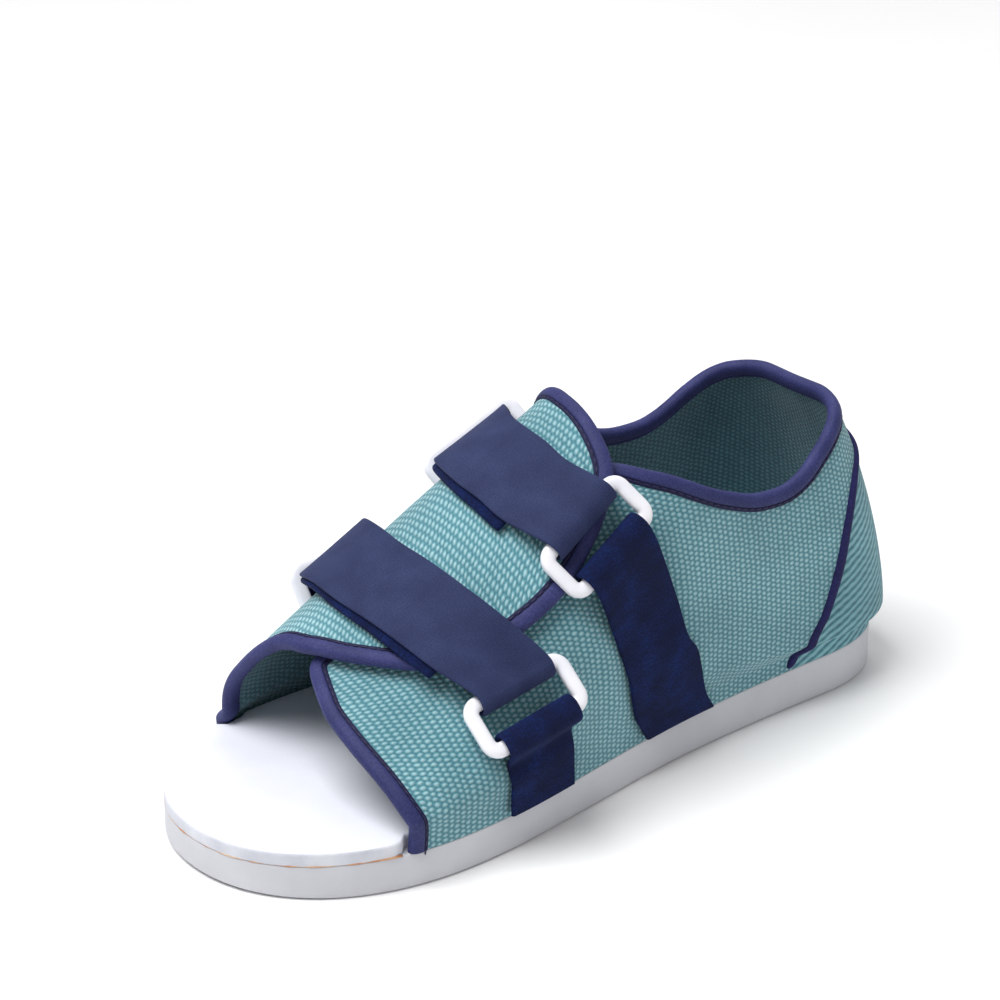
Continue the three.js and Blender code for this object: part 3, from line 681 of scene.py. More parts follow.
# Brushed loop pile of the plush tape: deep navy nap with a faint blue sheen.
LOOP_PLUSH = WovenTape(
    name="brushed_loop_plush",
    colours=("#000829", "#02123f", "#0a2866"),
    rib=6.0,
    relief=0.0009,
    fuzz=0.8,
    rib_share=0.02,
    sheen=0.08,
    sheen_colour="#2448b0",
    roughness=0.9,
)
# Polyester sewing thread, darker than the binding it holds.
THREAD = Moulded("sewing_thread", ("#15153c", "#22224e"), 6.0, 0.6, 0.0001, 0.6, 1.5)
# Injection-moulded acetal: glossy white with soft lilac shading.
ACETAL = Moulded("moulded_white_acetal", ("#e9e9f2", "#f6f6fb"), 18.0, 5.0, 0.00012, 0.22, 1.48)
# Moulded sole foam: matt light grey with a fine closed-cell grain.
SOLE_FOAM = Moulded("moulded_sole_foam", ("#c3c4ca", "#cdced4"), 30.0, 0.8, 0.00012, 0.62, 1.5)
# Cut edge of the footbed's foam, a little greyer than its top.
BED_EDGE = Moulded("cut_foam_edge", ("#c6c9d3", "#d8dae2"), 12.0, 0.7, 0.0003, 0.85, 1.5)
# Top skin of the footbed: smooth bright white foam.
BED_TOP = Moulded("smooth_foam_footbed", ("#dcdee8", "#e4e6ee"), 40.0, 1.2, 0.0001, 0.7, 1.5)
# Dried contact glue squeezed out between sole and footbed: uneven orange brown.
GLUE = Moulded("dried_contact_glue", ("#b9763f", "#dcbd9c"), 5.0, 1.0, 0.0004, 0.45, 1.5)
# Seamless white studio paper.
PAPER = Moulded("studio_paper", ("#f4f4f4", "#f8f8f8"), 300.0, 2.0, 0.00002, 0.9, 1.5)


# The last that the shoe is built round


@dataclass
class Last:
    """The form under the upper and the sole's edge, from which each piece takes its place."""

    length: float = 275.0
    ball_width: float = 108.0
    heel_width: float = 78.0
    waist_dip: float = 2.9
    toe_cap: tuple[float, float] = (69.0, 2.14)
    heel_cap: tuple[float, float] = (42.0, 2.47)
    sole_toe: float = 11.5
    sole_heel: float = 15.8
    rocker: float = 34.0
    spring: float = 0.8
    bed_room: float = 5.0
    sections: Table = field(
        default_factory=lambda: Table(
            ("share", "outer", "inner", "rise", "crest", "lean", "outer_power", "inner_power"),
            [
                (0.12, 0.005, -0.023, 0.033, 0.149, -0.13, 1.6, 2.1),
                (0.17, 0.005, -0.037, 0.036, 0.180, -0.102, 1.55, 2.1),
                (0.30, 0.005, -0.018, 0.047, 0.253, -0.111, 1.7, 2.0),
                (0.43, 0.0, -0.023, 0.058, 0.338, -0.083, 2.0, 2.0),
                (0.55, 0.009, -0.022, 0.065, 0.404, -0.028, 2.2, 2.1),
                (0.65, 0.028, 0.0, 0.058, 0.465, -0.009, 2.25, 2.2),
                (0.78, 0.042, 0.023, 0.04, 0.473, 0.0, 2.1, 2.1),
                (0.88, 0.046, 0.042, 0.033, 0.473, 0.0, 1.95, 1.95),
                (1.0, 0.037, 0.037, 0.029, 0.473, 0.0, 1.3, 1.3),
            ],
        )
    )

    def __post_init__(self) -> None:
        """Work out where the round ends begin."""
        self.half = self.length / 2
        self.toe_end = -self.half + self.toe_cap[0]
        self.heel_start = self.half - self.heel_cap[0]

    def share_at(self, y: Any) -> Points:
        """Return the share of the length at a place along the shoe."""
        return (np.asarray(y, float) + self.half) / self.length

    def length_at(self, share: Any) -> Points:
        """Return the place along the shoe at a share of its length."""
        return np.asarray(share, float) * self.length - self.half

    def sole_half(self, y: Points) -> Points:
        """Return half the sole's width at each place along it."""
        length, power = self.toe_cap
        t = np.clip((self.toe_end - y) / length, 0, 1)
        toe = self.ball_width / 2 * (1 - t**power) ** (1 / power)
        length, power = self.heel_cap
        t = np.clip((y - self.heel_start) / length, 0, 1)
        heel = self.heel_width / 2 * (1 - t**power) ** (1 / power)
        s = np.clip((y - self.toe_end) / (self.heel_start - self.toe_end), 0, 1)
        taper = mix(self.ball_width, self.heel_width, s * s * (3 - 2 * s)) / 2
        waist = taper - self.waist_dip * np.sin(np.pi * s) ** 2
        return np.where(y < self.toe_end, toe, np.where(y > self.heel_start, heel, waist))

    def sole_top(self, y: Points) -> Points:
        """Return the height of the outsole's top."""
        return mix(self.sole_toe, self.sole_heel, self.share_at(np.clip(y, -self.half, self.half)))

    def sole_bottom(self, y: Points) -> Points:
        """Return the height of the outsole's bottom, which rises a little under the toe."""
        t = np.maximum(0.0, (-self.half + self.rocker - y) / self.rocker)
        return self.spring * t * t

    def wall(
        self, angle: Points, foot: Points, edge: Points, reach: Points, share: Points, lean: Any, power: Any
    ) -> tuple[Points, Points]:
        """Return how far out and how high the wall lies at an angle of its section.

        Args:
            angle: Angle up the section, below 0 beside the footbed.
            foot: Height of the outsole's top there.
            edge: Distance out of the sole's edge.
            reach: How much further out the widest line lies.
            share: Share of the length.
            lean: How far the crest lies to that side.
            power: Fullness of that side's curve.
        """
        rise = self.sections.at(share, "rise") * self.length
        crest = self.sections.at(share, "crest") * self.length
        widest = foot + rise
        low = widest + rise * angle / FOOT_ANGLE
        low_out = edge + reach * ease((low - foot - self.bed_room) / (widest - foot - self.bed_room), 0, 1)
        turn = np.radians(np.clip(angle, 0, CREST))
        out = np.cos(turn) ** (2 / power)
        up = np.sin(turn) ** (2 / power)
        high_out = (edge + reach - lean) * out + lean
        high = widest + (crest - widest) * up
        return np.where(angle < 0, low_out, high_out), np.where(angle < 0, low, high)

    def side_point(self, y: Any, around: Any) -> Points:
        """Return a point of the last ahead of the heel."""
        y, around = np.broadcast_arrays(np.asarray(y, float), np.asarray(around, float))
        share = self.share_at(y)
        outer = around <= CREST
        side = np.where(outer, 1.0, -1.0)
        angle = np.minimum(np.where(outer, around, INNER_SIDE - around), CREST)
        at = self.sections.at
        reach = np.where(outer, at(share, "outer"), at(share, "inner")) * self.ball_width
        lean = side * at(share, "lean") * self.ball_width
        power = np.where(outer, at(share, "outer_power"), at(share, "inner_power"))
        out, z = self.wall(angle, self.sole_top(y), self.sole_half(y), reach, share, lean, power)
        return np.stack([side * out, y, z], -1)

    def heel_point(self, turn: Any, around: Any) -> Points:
        """Return a point of the last around the heel."""
        turn, around = np.broadcast_arrays(np.asarray(turn, float), np.asarray(around, float))
        psi = np.radians(turn)
        length, power = self.heel_cap
        wide = (np.abs(np.cos(psi)) / (self.heel_width / 2)) ** power
        deep = (np.abs(np.sin(psi)) / length) ** power
        edge = (wide + deep) ** (-1 / power)
        share = self.share_at(self.heel_start + length * np.abs(np.sin(psi)))
        at = self.sections.at
        reach = np.where(turn < CREST, at(share, "outer"), at(share, "inner")) * self.ball_width
        foot = self.sole_top(self.heel_start + edge * np.sin(psi))
        out, z = self.wall(around, foot, edge, reach, share, 0.0, at(share, "outer_power"))
        return np.stack([out * np.cos(psi), self.heel_start + out * np.sin(psi), z], -1)

    def raised(self, surface: Callable[[Any, Any], Points], a: Any, b: Any, bent: Any, lift: Any) -> Points:
        """Return points of a surface moved out along its normals."""
        along = surface(a + SMALL, bent) - surface(a - SMALL, bent)
        up = surface(a, bent + SMALL) - surface(a, bent - SMALL)
        return surface(a, b) + unit(np.cross(along, up)) * np.asarray(lift)[..., None]

    def heel_run(self, turn: Any) -> Points:
        """Return the distance round the heel at a turn, from where the heel's curve begins."""
        return np.radians(turn) * self.heel_width / 2

    def on_side(self, y: Any, around: Any, lift: Any = 0.0) -> Points:
        """Return a point out from the last ahead of the heel."""
        bent = np.clip(around, SMALL - FOOT_ANGLE, INNER_SIDE + FOOT_ANGLE - SMALL)
        return self.raised(self.side_point, np.asarray(y, float), around, bent, lift)

    def on_heel(self, turn: Any, around: Any, lift: Any = 0.0) -> Points:
        """Return a point out from the last around the heel."""
        bent = np.maximum(around, SMALL - FOOT_ANGLE)
        return self.raised(self.heel_point, np.asarray(turn, float), around, bent, lift)

    def outline(self, end_steps: int = 44, middle_steps: int = 90) -> tuple[Points, Points]:
        """Return one side of the sole's edge from toe to heel, and its outward normals."""
        turns = np.radians(np.linspace(0, 88, end_steps))
        places, normals = [], []
        ends = (
            (self.toe_end, self.toe_cap, self.ball_width, -1.0),
            (self.heel_start, self.heel_cap, self.heel_width, 1.0),
        )
        for start, (length, power), width, sign in ends:
            along = np.cos(turns) ** (2 / power)
            across = np.sin(turns) ** (2 / power)
            places.append(np.stack([width / 2 * across, start + sign * length * along], -1))
            slant = np.stack([across ** (power - 1) / (width / 2), sign * along ** (power - 1) / length], -1)
            normals.append(unit(slant))
        y = np.linspace(self.toe_end, self.heel_start, middle_steps)
        slope = (self.sole_half(y + 1) - self.sole_half(y - 1)) / 2
        middle = np.stack([self.sole_half(y), y], -1)
        middle_normals = unit(np.stack([np.ones_like(y), -slope], -1))
        points = np.concatenate([places[0], middle, places[1][::-1]])
        return points, np.concatenate([normals[0], middle_normals, normals[1][::-1]])


def steps_for(
    surface: Callable[[Any, Any], Points], a: Points, b: Points, move: Points
) -> tuple[Points, Points]:
    """Return steps in a surface's two coordinates that make a small move along it."""
    per_a = (surface(a + SMALL, b) - surface(a - SMALL, b)) / (2 * SMALL)
    per_b = (surface(a, b + SMALL) - surface(a, b - SMALL)) / (2 * SMALL)
    aa, ab, bb = dot(per_a, per_a), dot(per_a, per_b), dot(per_b, per_b)
    ma, mb = dot(move, per_a), dot(move, per_b)
    cross = aa * bb - ab * ab
    return (ma * bb - mb * ab) / cross, (mb * aa - ma * ab) / cross


# The sole


@dataclass
class Slab:
    """A layer of the sole, cut to the last's outline with rounded edges.

    Attributes:
        last: The last that gives the outline.
        name: The piece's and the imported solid's name.
        slot: The record's slot.
        top_round: Radius of the upper edge.
        bottom_round: Radius of the lower edge.
    """

    last: Last
    name: str
    slot: str
    top_round: float
    bottom_round: float

    def inset(self, y: Points) -> Points:
        """Return how far in from the sole's edge the layer ends."""
        return np.zeros_like(y)

    def low(self, y: Points) -> Points:
        """Return the height of its bottom."""
        return self.last.sole_bottom(y)

    def high(self, y: Points) -> Points:
        """Return the height of its top."""
        return self.last.sole_top(y)

    def level(self, within: float, low_part: Callable[[Points, Points], Points]) -> Points:
        """Return one closed loop round the layer.

        Args:
            within: How far inside the layer's own edge the loop runs.
            low_part: Height of the loop from the heights of the bottom and the top.
        """
        points, normals = self.last.outline()
        inset = self.inset(points[:, 1]) + within
        x = np.maximum(points[:, 0] - normals[:, 0] * inset, 0.0)
        y = points[:, 1] - normals[:, 1] * inset
        z = low_part(self.low(y), self.high(y))
        right = np.stack([x, y, z], -1)
        left = right[1:-1][::-1] * (-1, 1, 1)
        return np.concatenate([right, left])

    def shell(self) -> Shell:
        """Return the layer's surface, with one slot for its side and one for its top."""
        loops = []
        turns = np.radians([0, 22, 45, 68, 90])
        for turn in turns:
            within = self.bottom_round * (1 - math.sin(turn))
            rise = self.bottom_round * (1 - math.cos(turn))
            loops.append(self.level(within, lambda low, high, rise=rise: low + rise))
        for part in (0.35, 0.65):
            loops.append(self.level(0.0, lambda low, high, part=part: mix(low, high, part)))
        side_count = len(loops)
        for turn in turns:
            within = self.top_round * (1 - math.cos(turn))
            drop = self.top_round * (1 - math.sin(turn))
            loops.append(self.level(within, lambda low, high, drop=drop: high - drop))
        inward = (3.0, 8.0)
        for within in inward:
            loops.append(self.level(self.top_round + within, lambda low, high: high))
        grid = np.array(loops)
        count, size = grid.shape[:2]
        index = np.arange(count * size).reshape(count, size)
        ahead = np.roll(index, -1, axis=1)
        quads = np.stack([index[:-1], ahead[:-1], ahead[1:], index[1:]], -1).reshape(-1, 4)
        slots = np.repeat(np.arange(count - 1) >= side_count + 2, size).astype(int)
        faces = quads.tolist()
        middle = size // 2
        extra = []
        for loop, flip, slot in ((index[0], True, 0), (index[-1], False, 1)):
            for i in range(middle):
                left, left_next = loop[-i % size], loop[(-i - 1) % size]
                quad = [int(loop[i]), int(loop[i + 1]), int(left_next), int(left)]
                face = list(dict.fromkeys(quad))
                faces.append(face[::-1] if flip else face)
                extra.append(slot)
        return Shell(grid.reshape(-1, 3), faces, None, np.concatenate([slots, extra]))

    def make(self, side: Moulded, top: Moulded) -> None:
        """Build the layer and dress it.

        Args:
            side: Finish of its side and bottom.
            top: Finish of its top.
        """
        piece = self.shell().object(f"{self.name}_moulded", [side.material(), top.material()])
        dress(piece, self.slot, self.name)


@dataclass
class Footbed(Slab):
    """The white foam layer, which reaches the edge in the open toe and lies inside the wall behind."""

    thickness: float = 4.4
    room: float = 0.3
    insets: Table = field(
        default_factory=lambda: Table(
            ("y", "inset"), [(-94.9, 0.0), (-91.9, 4.3), (-84.3, 4.3), (-82.3, 3.0)]
        )
    )

    def inset(self, y: Points) -> Points:
        """Return how far in from the sole's edge the layer ends."""
        return self.insets.at(y, "inset")

    def low(self, y: Points) -> Points:
        """Return the height of its bottom, on a thin bed of glue."""
        return self.last.sole_top(y) + self.room / 3

    def high(self, y: Points) -> Points:
        """Return the height of its top."""
        return self.last.sole_top(y) + self.room + self.thickness


@dataclass
class GlueLine:
    """The thin uneven bead of glue between outsole and footbed round the open toe.

    Attributes:
        last: The last that gives its line.
        end: Place towards the heel where the bead ends on both sides.
        thinnest: Least radius of the bead.
        thickest: Greatest radius of the bead.
        swell: Rate of the bead's swelling along its line.
        beat: Rate at which the swelling comes and goes.
        ripple: Rate of the fine ripples.
        ripple_share: Height of the ripples beside the swelling.
        even_share: Share of the thickness that is even.
        wave_share: Share of the thickness that varies.
        end_share: Share of the thickness gained towards the ends.
        end_reach: Distance behind the toe where that gain starts.
        lift: Height of the bead's middle over the outsole.
        around: Number of points round the bead.
    """

    last: Last
    end: float = -93.5
    thinnest: float = 0.04
    thickest: float = 0.46
    swell: float = 0.9
    beat: float = 0.37
    ripple: float = 2.1
    ripple_share: float = 0.4
    even_share: float = 0.2
    wave_share: float = 0.45
    end_share: float = 0.4
    end_reach: float = 10
    lift: float = 0.15
    around: int = 8

    def make(self) -> None:
        """Build the bead and dress it."""
        points, normals = self.last.outline()
        keep = points[:, 1] < self.end
        right = points[keep] - normals[keep] * 0.1
        way = np.concatenate([right[::-1], (right * (-1, 1))[1:]])
        out = np.concatenate([normals[keep][::-1], (normals[keep] * (-1, 1))[1:]])
        along = np.arange(len(way)) * 1.0
        wave = np.sin(along * self.swell) * np.sin(along * self.beat + 1.0)
        wave = wave + self.ripple_share * np.sin(along * self.ripple)
        toward_ends = ease(way[:, 1], -self.last.half + self.end_reach, self.end)
        share = self.even_share + self.wave_share * wave + self.end_share * toward_ends
        radius = mix(self.thinnest, self.thickest, np.clip(share, 0, 1))
        turns = np.linspace(0, 2 * np.pi, self.around, endpoint=False)
        base = np.column_stack([way, self.last.sole_top(way[:, 1]) + self.lift])
        outward = np.column_stack([out, np.zeros(len(out))])
        upward = np.array([0, 0, 1.0])
        sideways = np.cos(turns)[None, :, None] * outward[:, None]
        rising = np.sin(turns)[None, :, None] * upward
        loops = base[:, None] + radius[:, None, None] * (sideways + rising)
        dress(tube_shell(loops).object("toe_glue_line", [GLUE.material()]), "footbed")


# The upper


OUTER_FRONT = Table(
    ("around", "share"),
    [(-30, 0.171), (-5, 0.173), (12, 0.166), (28, 0.162), (46, 0.159), (61, 0.162), (71, 0.173), (86, 0.194)],
)
INNER_FRONT = Table(
    ("around", "share"), [(86, 0.195), (102, 0.191), (114, 0.182), (135, 0.172), (160, 0.168), (210, 0.171)]
)
OUTER_TOP = Table(
    ("share", "around"),
    [
        (0.15, 86),
        (0.3, 79),
        (0.44, 75),
        (0.51, 71),
        (0.554, 61),
        (0.588, 49.5),
        (0.646, 37),
        (0.69, 32.9),
        (0.735, 31),
        (0.775, 31.4),
        (0.81, 33.6),
        (0.847, 38.6),
    ],
)
INNER_TOP = Table(
    ("share", "around"),
    [
        (0.16, 91),
        (0.195, 86),
        (0.212, 73.4),
        (0.233, 63.9),
        (0.261, 54.7),
        (0.3, 47.5),
        (0.34, 43.8),
        (0.373, 42.3),
        (0.41, 41.5),
        (0.441, 42.5),
        (0.49, 47.5),
        (0.52, 53),
        (0.544, 60.2),
        (0.557, 74),
        (0.568, 92),
        (0.585, 118),
        (0.61, 134),
        (0.646, 143),
        (0.69, 147.1),
        (0.735, 149),
        (0.775, 148.6),
        (0.81, 146.4),
        (0.847, 141.4),
    ],
)
HEEL_TOP = Table(
    ("turn", "around"),
    [
        (0, 38.6),
        (15, 43.2),
        (30, 47.2),
        (60, 52.6),
        (90, 54),
        (120, 52.6),
        (150, 47.2),
        (165, 43.2),
        (180, 38.6),
    ],
)
INNER_COLUMNS = [
    *(0, 0.02, 0.045, 0.08, 0.13, 0.19, 0.26, 0.34, 0.4, 0.44, 0.48, 0.52, 0.545, 0.555, 0.563),
    *(0.571, 0.579, 0.587, 0.597, 0.61, 0.63, 0.67, 0.72, 0.77, 0.82, 0.9, 1.0),
]
PIPING_LINE = Table(
    ("around", "run"),
    [
        (-27, -15.8),
        (-13, -13.1),
        (0, -9.8),
        (4.8, -4.2),
        (13, 2.0),
        (22, 7.5),
        (32, 16.3),
        (42, 37.4),
        (46, 55.8),
    ],
)


@dataclass
class Stretch:
    """One stretch of the upper: a grid of places, in the two coordinates of its surface."""

    side: Side
    a: Points
    b: Points


@dataclass
class Upper:
    """The one-piece mesh upper, whose inner half crosses the instep as a flap.

    Attributes:
        last: The last it is drawn over.
        wall: Thickness of the mesh.
        flap: How far the flap stands off the outer half.
        rows: Rows of points up the sheet.
        puff: Height of the puff in the mesh beside a strap.
        puff_width: Its width along the shoe.
        heelward_puff: Height of the puff behind the strap, as a share of the one before it.
        puff_before: Angle short of each ring at which the puff starts to fade.
        puff_past: Angle past each ring at which it has gone.
        puff_foot: Angle above the sole at which the puff is full.
        top_passes: Passes that find where the sheet's top edge runs.
    """

    last: Last
    wall: float = 2.4
    flap: float = 5.4
    flap_full: float = 88.0
    flap_start: float = 145.0
    gap: float = 0.3
    rows: int = 64
    side_columns: int = 130
    heel_columns: int = 96
    inner_columns: int = 190
    straps: Sequence["Strap"] = ()
    puff: float = 1.0
    puff_width: float = 5.0
    heelward_puff: float = 0.6
    puff_before: float = 6
    puff_past: float = 22
    puff_foot: float = 12
    top_passes: int = 24

    def stretches(self) -> list[Stretch]:
        """Return the three stretches of the sheet."""
        out = []
        places = np.linspace(0, len(INNER_COLUMNS) - 1, self.inner_columns)
        inner = np.interp(places, np.arange(len(INNER_COLUMNS)), INNER_COLUMNS)
        for side in (Side.OUTER, Side.HEEL, Side.INNER):
            if side is Side.HEEL:
                turn = np.linspace(0, INNER_SIDE, self.heel_columns + 2)[1:-1]
                b = np.linspace(-FOOT_ANGLE, HEEL_TOP.at(turn, "around"), self.rows, axis=1)
                out.append(Stretch(side, np.repeat(turn[:, None], self.rows, 1), b))
                continue
            outer = side is Side.OUTER
            column = np.linspace(0, 1, self.side_columns) if outer else inner[::-1]
            front = OUTER_FRONT if outer else INNER_FRONT
            edge = OUTER_TOP if outer else INNER_TOP
            bottom = -FOOT_ANGLE if outer else INNER_SIDE + FOOT_ANGLE

            def along(around: Points, column: Points = column, front: Table = front) -> Points:
                """Return how far along the shoe each column lies at an angle."""
                start = self.last.length_at(front.at(around, "share"))
                return mix(start, self.last.heel_start, column)

            top = edge.at(self.last.share_at(along(np.full_like(column, CREST))), "around")
            for _ in range(self.top_passes):
                top = mix(top, edge.at(self.last.share_at(along(top)), "around"), 0.5)
            b = np.linspace(bottom, top, self.rows, axis=1)
            out.append(Stretch(side, along(b, column[:, None]), b))
        return out

    def bulge(self, y: Points, around: Points) -> Points:
        """Return how far the mesh puffs out beside each strap's sewn ends."""
        out = np.zeros(np.broadcast(y, around).shape)
        for strap in self.straps:
            middle = self.last.length_at(strap.line.at(around, "share"))
            away = y - middle
            half = strap.width / 2
            toe = np.exp(-(((away + half + self.puff_width) / self.puff_width) ** 2))
            heel = self.heelward_puff * np.exp(-(((away - half - self.puff_width) / self.puff_width) ** 2))
            outer, inner = strap.outer_ring[0], strap.inner_ring[0]
            low = 1 - ease(around, outer - self.puff_before, outer + self.puff_past)
            high = ease(around, inner - self.puff_past, inner + self.puff_before)
            near_sole = ease(around, -FOOT_ANGLE, self.puff_foot)
            near_sole = near_sole * ease(-around, -INNER_SIDE - FOOT_ANGLE, -INNER_SIDE + self.puff_foot)
            out = out + self.puff * (toe + heel) * np.maximum(low, high) * near_sole
        return out

    def skin(self, side: Side, a: Points, b: Points, lift: Any) -> Points:
        """Return points at a height over the sheet's outer face."""
        if side is Side.HEEL:
            return self.last.on_heel(a, b, lift)
        rest = self.bulge(a, b)
        if side is Side.INNER:
            rest = rest + self.flap * (1 - ease(b, self.flap_full, self.flap_start))
        return self.last.on_side(a, b, rest + lift)

    def grid(self, stretches: Sequence[Stretch], lift: float) -> Points:
        """Return the sheet's points at a height, standing on the outsole."""
        grid = np.concatenate([self.skin(s.side, s.a, s.b, lift) for s in stretches])
        grid[:, 0, 2] = self.last.sole_top(grid[:, 0, 1]) + self.gap / 3
        return grid

    def cloth(self, stretches: Sequence[Stretch]) -> Points:
        """Return each point's place on the cloth: along the shoe, and up from the sole."""
        parts = np.linspace(0, 1, 24)
        reference = 20.0
        turn = np.linspace(0, INNER_SIDE, 200)
        round_heel = self.last.heel_point(turn, reference)
        run = np.concatenate([[0], np.cumsum(np.linalg.norm(np.diff(round_heel, axis=0), axis=1))])
        out = []
        for s in stretches:
            inner = s.side is Side.INNER
            bottom = INNER_SIDE + FOOT_ANGLE if inner else -FOOT_ANGLE
            angles = bottom + (s.b - bottom)[..., None] * parts
            surface = self.last.heel_point if s.side is Side.HEEL else self.last.side_point
            points = surface(s.a[..., None], angles)
            v = np.sum(np.linalg.norm(np.diff(points, axis=2), axis=-1), axis=-1)
            if s.side is Side.HEEL:
                u = self.last.heel_start + np.interp(s.a, turn, run)
            elif inner:
                u = 2 * self.last.heel_start + run[-1] - s.a
            else:
                u = s.a
            out.append(np.stack([u, v], -1))
        return np.concatenate(out)

    def panels(self, stretches: Sequence[Stretch]) -> Points:
        """Return the slot of each face: the heel panel lies behind the pipings."""
        out = []
        for s in stretches:
            around = INNER_SIDE - s.b if s.side is Side.INNER else s.b
            if s.side is Side.HEEL:
                run = self.last.heel_run(np.minimum(s.a, INNER_SIDE - s.a))
            else:
                run = s.a - self.last.heel_start
            out.append(run > PIPING_LINE.at(around, "run"))
        behind = np.concatenate(out)[:-1, :-1]
        return np.where(behind, Face.PANEL.value, Face.SHOWN.value)

    def make(self) -> list[Stretch]:
        """Build the sheet and dress it.

        Returns:
            Its stretches, for the binding.
        """
        stretches = self.stretches()
        shell = sheet_shell(
            self.grid(stretches, 0.0),
            self.grid(stretches, -self.wall),
            self.cloth(stretches),
            self.panels(stretches),
        )
        finishes = [finish.material() for finish in (BODY_MESH, HEEL_MESH, SHADED_LINING_MESH)]
        dress(shell.object("mesh_upper", finishes), "mesh", "upper")
        return stretches


@dataclass
class Binding:
    """The tape folded over the upper's edge, with its line of stitches.

    Attributes:
        upper: The sheet that it edges.
        profile: Half the fold's outline: distance past the edge, and height over the sheet.
        seam: Distance inside the edge of the stitches.
    """

    upper: Upper
    profile: tuple[tuple[float, float], ...] = (
        (-4.5, -0.4),
        (-4.45, 0.25),
        (-3.9, 0.5),
        (-3.2, 0.35),
        (-2.85, 0.85),
        (-1.9, 1.1),
        (-0.5, 1.06),
        (0.7, 0.6),
        (1.35, -0.2),
    )
    crown: float = 1.6
    profile_steps: int = 3
    turn_room: float = 3.5
    corner_room: float = 4.0
    seam: float = 3.6
    stitch_length: float = 2.3
    stitch_pitch: float = 3.1
    stitch_radius: float = 0.3

    def edge(self, stretches: Sequence[Stretch]) -> list[Stretch]:
        """Return the places along the edge, each with a second row of places just inside it."""
        out = []
        for s in stretches:
            a = np.stack([s.a[:, -1], s.a[:, -2]], -1)
            b = np.stack([s.b[:, -1], s.b[:, -2]], -1)
            if s.side is Side.OUTER:
                a = np.concatenate([np.stack([s.a[0, :-1], s.a[1, :-1]], -1), a])
                b = np.concatenate([np.stack([s.b[0, :-1], s.b[1, :-1]], -1), b])
            if s.side is Side.INNER:
                a = np.concatenate([a, np.stack([s.a[-1, :-1], s.a[-2, :-1]], -1)[::-1]])
                b = np.concatenate([b, np.stack([s.b[-1, :-1], s.b[-2, :-1]], -1)[::-1]])
            if s.side is not Side.HEEL:
                a, b = self.rounded(s.side, a, b)
            out.append(Stretch(s.side, a, b))
        return out

    def rounded(self, side: Side, a: Points, b: Points) -> tuple[Points, Points]:
        """Return places along a stretch of the edge with its corners rounded off.

        Args:
            side: The stretch's side.
            a: Places along the shoe, with a second column just inside the edge.
            b: Angles, laid out in the same way.
        """
        places = self.upper.skin(side, a[:, 0], b[:, 0], 0.0)
        run = np.concatenate([[0], np.cumsum(np.linalg.norm(np.diff(places, axis=0), axis=1))])
        gaps = np.gradient(run)
        room = np.minimum(self.corner_room, np.minimum(run, run[-1] - run) / 2 + 1e-3)
        weight = np.exp(-(((run[:, None] - run[None, :]) / room[:, None]) ** 2)) * gaps
        weight /= weight.sum(axis=1, keepdims=True)
        return weight @ a, weight @ b

    def spread(self, vectors: Points, places: Points) -> Points:
        """Return directions averaged along the edge, so that they fan out round its corners."""
        gaps = np.linalg.norm(np.diff(places, axis=0), axis=1)
        run = np.concatenate([[0], np.cumsum(gaps)])
        weight = np.exp(-(((run[:, None] - run[None, :]) / self.turn_room) ** 2))
        weight *= np.concatenate([[gaps[0]], (gaps[:-1] + gaps[1:]) / 2, [gaps[-1]]])
        return unit(weight @ vectors)

    def lines(self, stretches: Sequence[Stretch]) -> tuple[Points, Points, Points]:
        """Return the fold's loops, their cloth places and the stitches' line."""
        upper = self.upper
        edge = self.edge(stretches)
        middle = -upper.wall / 2
        both = np.concatenate([upper.skin(s.side, s.a, s.b, middle) for s in edge])
        middles, behind = both[:, 0], both[:, 1]
        faces = [
            np.concatenate([upper.skin(s.side, s.a[:, 0], s.b[:, 0], height) for s in edge])
            for height in (0, 2 * middle)
        ]
        along = unit(np.gradient(middles, axis=0))
        normal = faces[0] - faces[1]
        normal = unit(normal - along * dot(normal, along)[:, None])
        past = np.cross(along, normal)
        past *= np.sign(dot(past, middles - behind))[:, None]
        past = self.spread(past, middles)

        def reach(p: float, lift: float) -> Points:
            """Return points along the whole edge, p past it and a lift over the sheet."""
            out, start = [], 0
            for s in edge:
                count = len(s.a)
                a, b = s.a[:, 0], s.b[:, 0]
                inward = min(p, 0.0)
                surface = upper.last.heel_point if s.side is Side.HEEL else upper.last.side_point
                move = past[start : start + count] * inward
                step_a, step_b = steps_for(surface, a, b, move)
                out.append(upper.skin(s.side, a + step_a, b + step_b, lift))
                start += count
            return np.concatenate(out) + past * max(p, 0.0)

        half = np.array(self.profile)
        whole = np.concatenate([half, [[self.crown, middle]], (half * (1, -1) + (0, 2 * middle))[::-1]])
        fine = smooth_line(whole[:, None, :], self.profile_steps)[:, 0]
        loops = np.stack([reach(p, lift) for p, lift in fine], axis=1)
        floor = upper.last.sole_top(loops[..., 1]) + upper.gap / 3
        loops[..., 2] = np.maximum(loops[..., 2], floor)
        run = np.concatenate([[0], np.cumsum(np.linalg.norm(np.diff(middles, axis=0), axis=1))])
        width = np.concatenate([[0], np.cumsum(np.linalg.norm(np.diff(fine, axis=0), axis=1))])
        cloth = np.stack(np.broadcast_arrays(width[None, :], run[:, None]), -1)
        height = float(np.interp(-self.seam, half[:, 0], half[:, 1]))
        return loops, cloth, reach(-self.seam, height)

    def make(self, stretches: Sequence[Stretch]) -> None:
        """Build the fold and its stitches, and dress them."""
        loops, cloth, seam = self.lines(stretches)
        piece = tube_shell(loops, cloth).object("edge_binding", [EDGE_TAPE.material()])
        dress(piece, "binding", "binding")
        stitches = stitch_line(
            "binding_stitches", seam, self.stitch_pitch, self.stitch_length, self.stitch_radius
        )
        dress(stitches, "binding")


